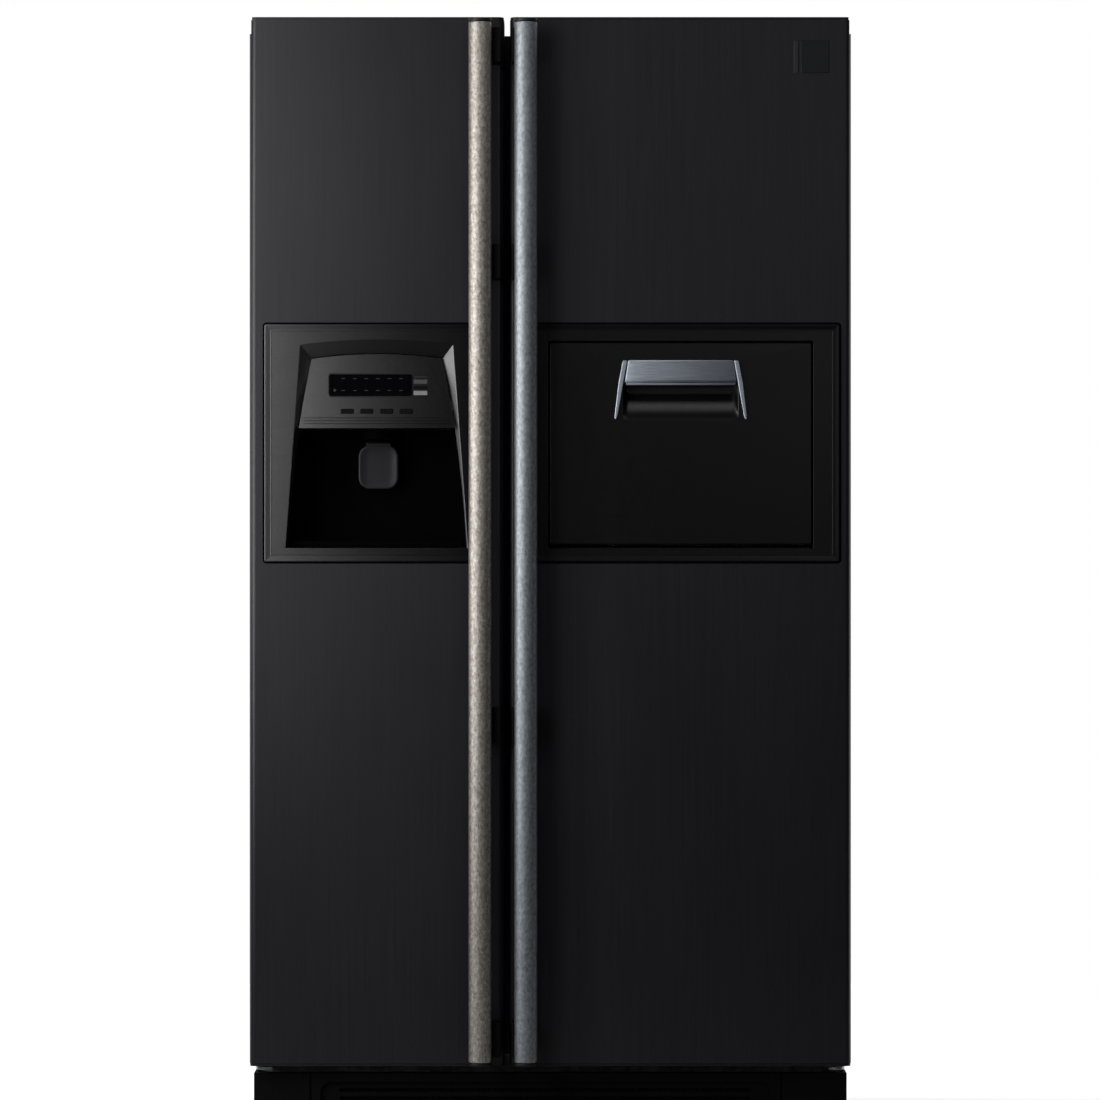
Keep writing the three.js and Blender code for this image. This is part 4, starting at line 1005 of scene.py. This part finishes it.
def build_ceiling_lamp(liner, y):
    low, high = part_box(liner)
    middle = (low.x + high.x) / 2
    ceiling = high.z - LINER_WALL
    frame_size = (middle - LAMP_HALF_WIDTH, middle + LAMP_HALF_WIDTH,
                  y - LAMP_HALF_DEPTH, y + LAMP_HALF_DEPTH)
    bm = bmesh.new()
    plan_relief(bm, frame_size, 18 * MM, levels(ceiling, (0, 0.5), (0, -5), (1.5, -7), (9, -7.5)), steps=8)
    make_piece(liner + "_lamp_frame", bm, "white_liner", "cabinet")
    bm = bmesh.new()
    plan_relief(bm, frame_size, 18 * MM, levels(ceiling, (9, -7), (9, -11), (11, -14), (17, -15.5)), steps=8)
    make_piece(liner + "_lamp_lens", bm, "lamp_lens", "cabinet")


def build_control_box():
    """Two setting dials on a housing under the fridge compartment's ceiling."""
    low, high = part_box("fridge_liner")
    middle = (low.x + high.x) / 2
    ceiling = high.z - LINER_WALL
    front = CONTROL_BOX_Y
    bm = bmesh.new()
    housing = (middle - CONTROL_BOX_HALF_WIDTH, middle + CONTROL_BOX_HALF_WIDTH,
               ceiling - CONTROL_BOX_HEIGHT, ceiling + 0.5 * MM)
    front_relief(bm, housing, 10 * MM, levels(front, (0, 70), (0, 3), (0.9, 0.9), (3, 0)))
    make_piece("control_box", bm, "white_liner", "cabinet")
    dials, ticks = bmesh.new(), bmesh.new()
    for side in (-1, 1):
        centre = Vector((middle + side * DIAL_FROM_MIDDLE, front, ceiling - CONTROL_BOX_HEIGHT / 2))
        turned(dials, "y", centre,
               levels(0, (13, 0.5), (13, -1.5), (11.5, -2.2), (10.8, -6), (9.8, -7.2), (2, -7.6)), sides=40)
        for step in range(7):
            turn = math.radians(210 - 40 * step)
            place = centre + Vector((math.cos(turn), 0, math.sin(turn))) * TICK_RADIUS
            turned(ticks, "y", place, levels(0, (1.1, 0.3), (1.1, -0.3), (0.7, -0.45)), sides=12)
    make_piece("control_dials", dials, "white_liner", "cabinet")
    make_piece("control_ticks", ticks, "grey_ink", "cabinet")


def build_ice_maker():
    """The ice maker's housing above the ice bin, with its tray opening and its switch."""
    low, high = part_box("ice_bin")
    z0 = high.z + ICE_MAKER_ABOVE_BIN
    z1 = z0 + ICE_MAKER_HEIGHT
    bm = bmesh.new()
    front_relief(bm, (low.x + 10 * MM, high.x - 10 * MM, z0, z1), 12 * MM,
                 levels(high.y, (0, -4)) + levels(low.y, (0, 70), (1.2, 67.5), (4, 66)), steps=8)
    make_piece("ice_maker", bm, "white_liner", "cabinet")
    bm = bmesh.new()
    front_relief(bm, (low.x + 34 * MM, high.x - 110 * MM, z0 + 14 * MM, z1 - 14 * MM), 6 * MM,
                 levels(low.y, (0, 67), (0, 65.2), (0.8, 64.6)))
    make_piece("ice_maker_window", bm, "gasket_rubber", "cabinet")
    bm = bmesh.new()
    bar(bm, (high.x - 60 * MM, low.y + 58 * MM, z0 + 26 * MM),
        (high.x - 54 * MM, low.y + 67 * MM, z1 - 22 * MM), 1.5 * MM)
    make_piece("ice_maker_switch", bm, "key_plastic", "cabinet")


DRAWERS = {
    # body (and node): width of its grip
    "freezer_drawer": 170 * MM,
    "ice_bin": 130 * MM,
    "crisper_lower": 220 * MM,
    "crisper_upper": 220 * MM,
}


def build_drawer_front(node, grip_width):
    """A white frame round the drawer's clear front, with a rolled grip at its top."""
    low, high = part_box(node)
    middle = (low.x + high.x) / 2
    face = low.y
    bm = bmesh.new()
    frame_profile = ((0, 0.3), (0, -1.5), (0.7, -2.6), (2, -3), (9, -3), (11, -2.2), (12, -0.2), (12, 0.3))
    front_ring(bm, (low.x, high.x, low.z, high.z), 8 * MM, levels(face, *frame_profile))
    grip = (middle - grip_width / 2, middle + grip_width / 2, high.z - 40 * MM, high.z - 6 * MM)
    front_relief(bm, grip, 9 * MM,
                 levels(face, (0, -0.1), (0, -2.4), (0.8, -3.3), (3, -3.6), (6, -2.4), (8, -1.6)), steps=8)
    make_piece(node + "_front", bm, "white_liner", node)


# ---- Inside the doors --------------------------------------------------------------------------------
# Underside and height of the bins on each door, in mm; the CAD's own bin is the one marked True.
BINS = {
    "freezer": ((196, 100, False), (560, 120, True), (736, 96, False), (1572, 92, False)),
    "fridge": ((560, 120, True), (738, 100, False), (1290, 100, False), (1440, 100, False),
               (1584, 84, False)),
}
BIN_WALL = 2.6 * MM


def build_door_bin(name, door, place, z0, z1, replaces):
    """An open clear bin with rounded corners, and the white rail round its top."""
    bm = bmesh.new()
    plan_relief(bm, place, 20 * MM, [
        *levels(z0, (9, 0), (3.5, 1.2), (1, 5), (0.4, 16)), (0.4 * MM, z1 - 2 * MM),
        (BIN_WALL, z1 - 2 * MM), (BIN_WALL, z0 + 16 * MM),
        (BIN_WALL + 1 * MM, z0 + 7 * MM), (BIN_WALL + 7 * MM, z0 + 3 * MM),
    ], steps=8)
    make_piece(name, bm, "clear_bin", door + "_door", replaces=replaces)
    bm = bmesh.new()
    rail = levels(z1, (0, -16), (0, -1), (0.8, 0), (3, 0), (3.6, -1), (3.6, -16))
    loft(bm, [plan_loop(*place, 20 * MM, z, inset, 8) for inset, z in rail], closed=True)
    make_piece(name + "_rail", bm, "white_liner", door + "_door")


def build_door_bins(door):
    low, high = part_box(door + "_door_bin")
    place = (low.x, high.x, low.y, high.y)
    for number, (z, height, from_cad) in enumerate(BINS[door], 1):
        replaces = [door + "_door_bin"] if from_cad else []
        build_door_bin(f"{door}_bin_{number}", door, place, z * MM, (z + height) * MM, replaces)


def build_gasket(door):
    """The magnetic seal: a clipped foot, a soft bellows and the flat magnet pocket that meets the cabinet."""
    node = door + "_door_gasket"
    low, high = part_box(node)
    foot, pad = low.y, high.y
    profile = [
        *levels(foot, (2, 0), (2, 1.6), (4.6, 2.6), (1, 4.6), (0, 6)),
        *levels(pad, (0, -2.6), (1, -0.6), (2.4, 0), (9.4, 0), (11, -0.8), (11.4, -3.4)),
        *levels(foot, (8.6, 5.6), (11.2, 3.8), (17, 2.2), (19.6, 1), (19.6, 0)),
    ]
    bm = bmesh.new()
    front_ring(bm, (low.x, high.x, low.z, high.z), 20 * MM, profile, steps=8)
    make_piece(door + "_gasket_seal", bm, "gasket_rubber", door + "_door", replaces=[node])


def build_interior():
    build_shelves()
    for liner, lamp_y in LAMP_Y.items():
        build_shelf_rails(liner)
        build_air_duct(liner)
        build_ceiling_lamp(liner, lamp_y)
    build_control_box()
    build_ice_maker()
    for node, grip_width in DRAWERS.items():
        build_drawer_front(node, grip_width)
    for door in ("freezer", "fridge"):
        build_door_bins(door)
        build_gasket(door)


# ---- Back of the cabinet -----------------------------------------------------------------------------
BACK_DROP = 2 * MM
SWAGE_HEIGHT = 46 * MM
SWAGES = 5
REAR_SCREWS = 7  # down each side


def add_screw(bm, centre, size=1.0):
    """A hexagon washer-head screw, driven along Y from behind."""
    r = size * MM
    turned(bm, "y", centre, [(5.4 * r, -0.3 * MM), (5.4 * r, 0.5 * r), (4.8 * r, 0.8 * r)], sides=24)
    turned(bm, "y", centre, [(3.7 * r, 0.6 * r), (3.7 * r, 1.5 * r), (3.2 * r, 1.8 * r)], sides=6)


def build_rear_skin():
    """The rear panel: a flat sheet stiffened by pressed swages that stand level with the side walls."""
    low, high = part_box("cabinet_rear_wall")
    sheet = high.y - BACK_DROP
    bm = bmesh.new()
    front_relief(bm, (low.x, high.x, low.z, high.z), 3 * MM, [
        (0.0, low.y), (0.0, sheet - 1 * MM), (0.3 * MM, sheet - 0.3 * MM), (1 * MM, sheet),
    ])
    pitch = (high.z - low.z) / SWAGES
    for row in range(SWAGES):
        z = low.z + pitch * (row + 0.5) - SWAGE_HEIGHT / 2
        swage = (low.x + 50 * MM, high.x - 50 * MM, z, z + SWAGE_HEIGHT)
        front_relief(bm, swage, SWAGE_HEIGHT / 2 - 0.1 * MM, [
            (0.0, sheet - 0.3 * MM), (0.8 * MM, sheet + 0.25 * BACK_DROP),
            (2.4 * MM, sheet + 0.8 * BACK_DROP), (4.5 * MM, high.y),
        ], steps=10)
    make_piece("rear_skin", bm, "cabinet_paint", "cabinet", replaces=["cabinet_rear_wall"])
    bm = bmesh.new()
    for side in (-1, 1):
        for row in range(REAR_SCREWS):
            z = low.z + 30 * MM + (high.z - low.z - 60 * MM) * row / (REAR_SCREWS - 1)
            add_screw(bm, (side * (high.x - 18 * MM), sheet, z))
    for x in (-0.2, 0.0, 0.2):
        add_screw(bm, (x, sheet, high.z - 18 * MM))
    make_piece("rear_screws", bm, "zinc_steel", "cabinet")


def build_cover_details():
    """Screws on the compressor cover and the water inlet's threaded stub."""
    low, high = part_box("compressor_cover")
    bm = bmesh.new()
    for x in (low.x + 14 * MM, (low.x + high.x) / 2, high.x - 14 * MM):
        for z in (low.z + 9 * MM, high.z - 9 * MM):
            add_screw(bm, (x, high.y, z))
    make_piece("compressor_cover_screws", bm, "zinc_steel", "cabinet")
    inlet = (low.x + 70 * MM, high.y, high.z - 32 * MM)
    bm = bmesh.new()
    turned(bm, "y", inlet, levels(0, (15, -0.3), (15, 2.4), (14, 3.2)), sides=6)
    profile = levels(0, (10.5, 2.6), (10.5, 3.6))
    for thread in range(6):
        profile += [(9.2 * MM, (4.4 + 1.8 * thread) * MM), (10.2 * MM, (5.3 + 1.8 * thread) * MM)]
    profile += levels(0, (8.6, 16.2), (6.4, 16.2), (6, 6))
    turned(bm, "y", inlet, profile, sides=40)
    make_piece("water_inlet", bm, "white_liner", "cabinet")


def build_back():
    build_rear_skin()
    build_cover_details()


# ---- Studio ------------------------------------------------------------------------------------------
CAMERA_TO_DOORS = 6.0
VIEW_WIDTH = 1.717
VIEW_CENTRE = Vector((-0.0005, 0, 0.918))
SENSOR = 36
FLOOR_RADIUS = 1.5
FLOOR_CENTRE_Y = 0.45
FLOOR_GLOW_FROM_TO = (-0.55, -0.3)  # from the floor's own centre, so that all of it behind y = 0.15 is lit up
FLOOR_GLOW = 0.85
FLOOR_BOUNCE = 0.45  # how much of its own light the floor throws back onto the object
FLOOR_FADE_FROM = 0.8  # the floor fades to the background's white between here and its rim


def build_camera():
    door_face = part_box("fridge_door_panel")[0].y
    data = bpy.data.cameras.new("camera")
    data.sensor_width = SENSOR
    data.lens = SENSOR * CAMERA_TO_DOORS / VIEW_WIDTH
    camera = add_object("camera", data)
    camera.location = VIEW_CENTRE + Vector((0, door_face - CAMERA_TO_DOORS, 0))
    camera.rotation_euler = (math.radians(90), 0, 0)
    bpy.context.scene.camera = camera


def build_floor():
    paper = Surface("pale_floor", (0.85, 0.85, 0.85), 0.9, Specular_IOR_Level=0.1)
    paper.set(Emission_Color=(1, 1, 1, 1))
    seen = paper.seen()
    bounce = paper.combine("MULTIPLY", paper.spread(paper.grain(3), 0.0, 1.0, 0.96, 1.0),
                           paper.spread(seen, 0.0, 1.0, FLOOR_BOUNCE, 1.0))
    paper.color_between(bounce, (0, 0, 0), (0.86, 0.86, 0.86))
    glow = paper.spread(paper.component(paper.coordinates, "Y"), *FLOOR_GLOW_FROM_TO, 0.0, FLOOR_GLOW)
    radius = paper.node("ShaderNodeVectorMath", operation="LENGTH")
    paper.link(paper.coordinates, radius.inputs[0])
    rim = paper.spread(radius.outputs["Value"], FLOOR_FADE_FROM, FLOOR_RADIUS)
    fade = paper.combine("MULTIPLY", rim, seen)
    paper.link(paper.combine("MAXIMUM", glow, fade), paper.shader.inputs["Emission Strength"])
    bm = bmesh.new()
    bmesh.ops.create_circle(bm, cap_ends=True, segments=96, radius=FLOOR_RADIUS)
    mesh = bpy.data.meshes.new("floor")
    bm.to_mesh(mesh)
    bm.free()
    mesh.materials.append(paper.material)
    floor = add_object("floor", mesh)
    floor.location = (0, FLOOR_CENTRE_Y, -0.5 * MM)


BEHIND_FROM_TO = (0.05, 0.4)  # of the direction's Y
OVERHEAD_TO_LOW = (0.75, 0.35)  # of the direction's Z
FRONT_FILL = 0.012
OVERHEAD_SHARE = 0.25


def build_world():
    """White to the camera; for light, bright behind and above the object and dim in front of it."""
    world = bpy.data.worlds.new("studio")
    world.use_nodes = True
    sky = NodeTree(world.node_tree)
    sky.tree.nodes.clear()
    direction = sky.node("ShaderNodeTexCoord").outputs["Generated"]
    behind = sky.spread(sky.component(direction, "Y"), *BEHIND_FROM_TO, FRONT_FILL, 1.0,
                        interpolation_type="SMOOTHSTEP")
    low = sky.spread(sky.component(direction, "Z"), *OVERHEAD_TO_LOW, OVERHEAD_SHARE, 1.0,
                     interpolation_type="SMOOTHSTEP")
    room, white = (sky.node("ShaderNodeBackground") for _ in range(2))
    for background in (room, white):
        background.inputs["Color"].default_value = (1, 1, 1, 1)
    sky.link(sky.combine("MULTIPLY", behind, low), room.inputs["Strength"])
    mix = sky.node("ShaderNodeMixShader")
    for output, target in zip((sky.seen(), room.outputs[0], white.outputs[0]), mix.inputs):
        sky.link(output, target)
    sky.link(mix.outputs[0], sky.node("ShaderNodeOutputWorld").inputs[0])
    bpy.context.scene.world = world


LIGHTS = (
    # name, place, target, width, height, power, colour
    ("front_left", (-2.2, -4.6, 1.6), (0.0, -0.3, 1.1), 1.0, 1.5, 13.5, (1, 1, 1)),
    ("front_right", (1.4, -5.0, 2.0), (0.2, -0.3, 1.2), 1.5, 1.5, 4, (1, 0.99, 1)),
    ("key", (-0.9, -1.4, 1.5), (-0.3, -0.35, 1.1), 0.4, 1.7, 7.5, (1, 0.99, 0.98)),
    ("side_strip", (-1.35, -1.15, 1.15), (-0.1, -0.36, 1.1), 0.3, 1.3, 8.2, (1, 0.99, 0.98)),
    ("flank_light", (-1.5, -0.6, 1.12), (-0.15, -0.32, 1.1), 0.3, 0.6, 2, (1, 1, 1)),
    ("edge_light", (1.5, -0.1, 0.95), (0.47, -0.3, 0.95), 0.5, 1.9, 2.5, (1, 1, 1)),
    ("overhead", (0.1, -1.1, 2.7), (0.1, -0.33, 1.1), 1.6, 0.5, 3.5, (1, 1, 1)),
)


def build_lights():
    for name, place, target, width, height, power, color in LIGHTS:
        data = bpy.data.lights.new(name, "AREA")
        data.shape = "RECTANGLE"
        data.size = width
        data.size_y = height
        data.energy = power
        data.color = color
        light = add_object(name, data)
        light.location = place
        light.rotation_euler = (Vector(target) - Vector(place)).to_track_quat("-Z", "Y").to_euler()


def build_studio():
    build_camera()
    build_floor()
    build_world()
    build_lights()
    bpy.context.scene.view_settings.view_transform = "Standard"


finish_cad_nodes()
build_handle("freezer", "satin_warm")
build_handle("fridge", "satin_cool")
build_dispenser()
build_home_bar()
build_badge()
build_air_filter()
build_interior()
build_back()
build_studio()
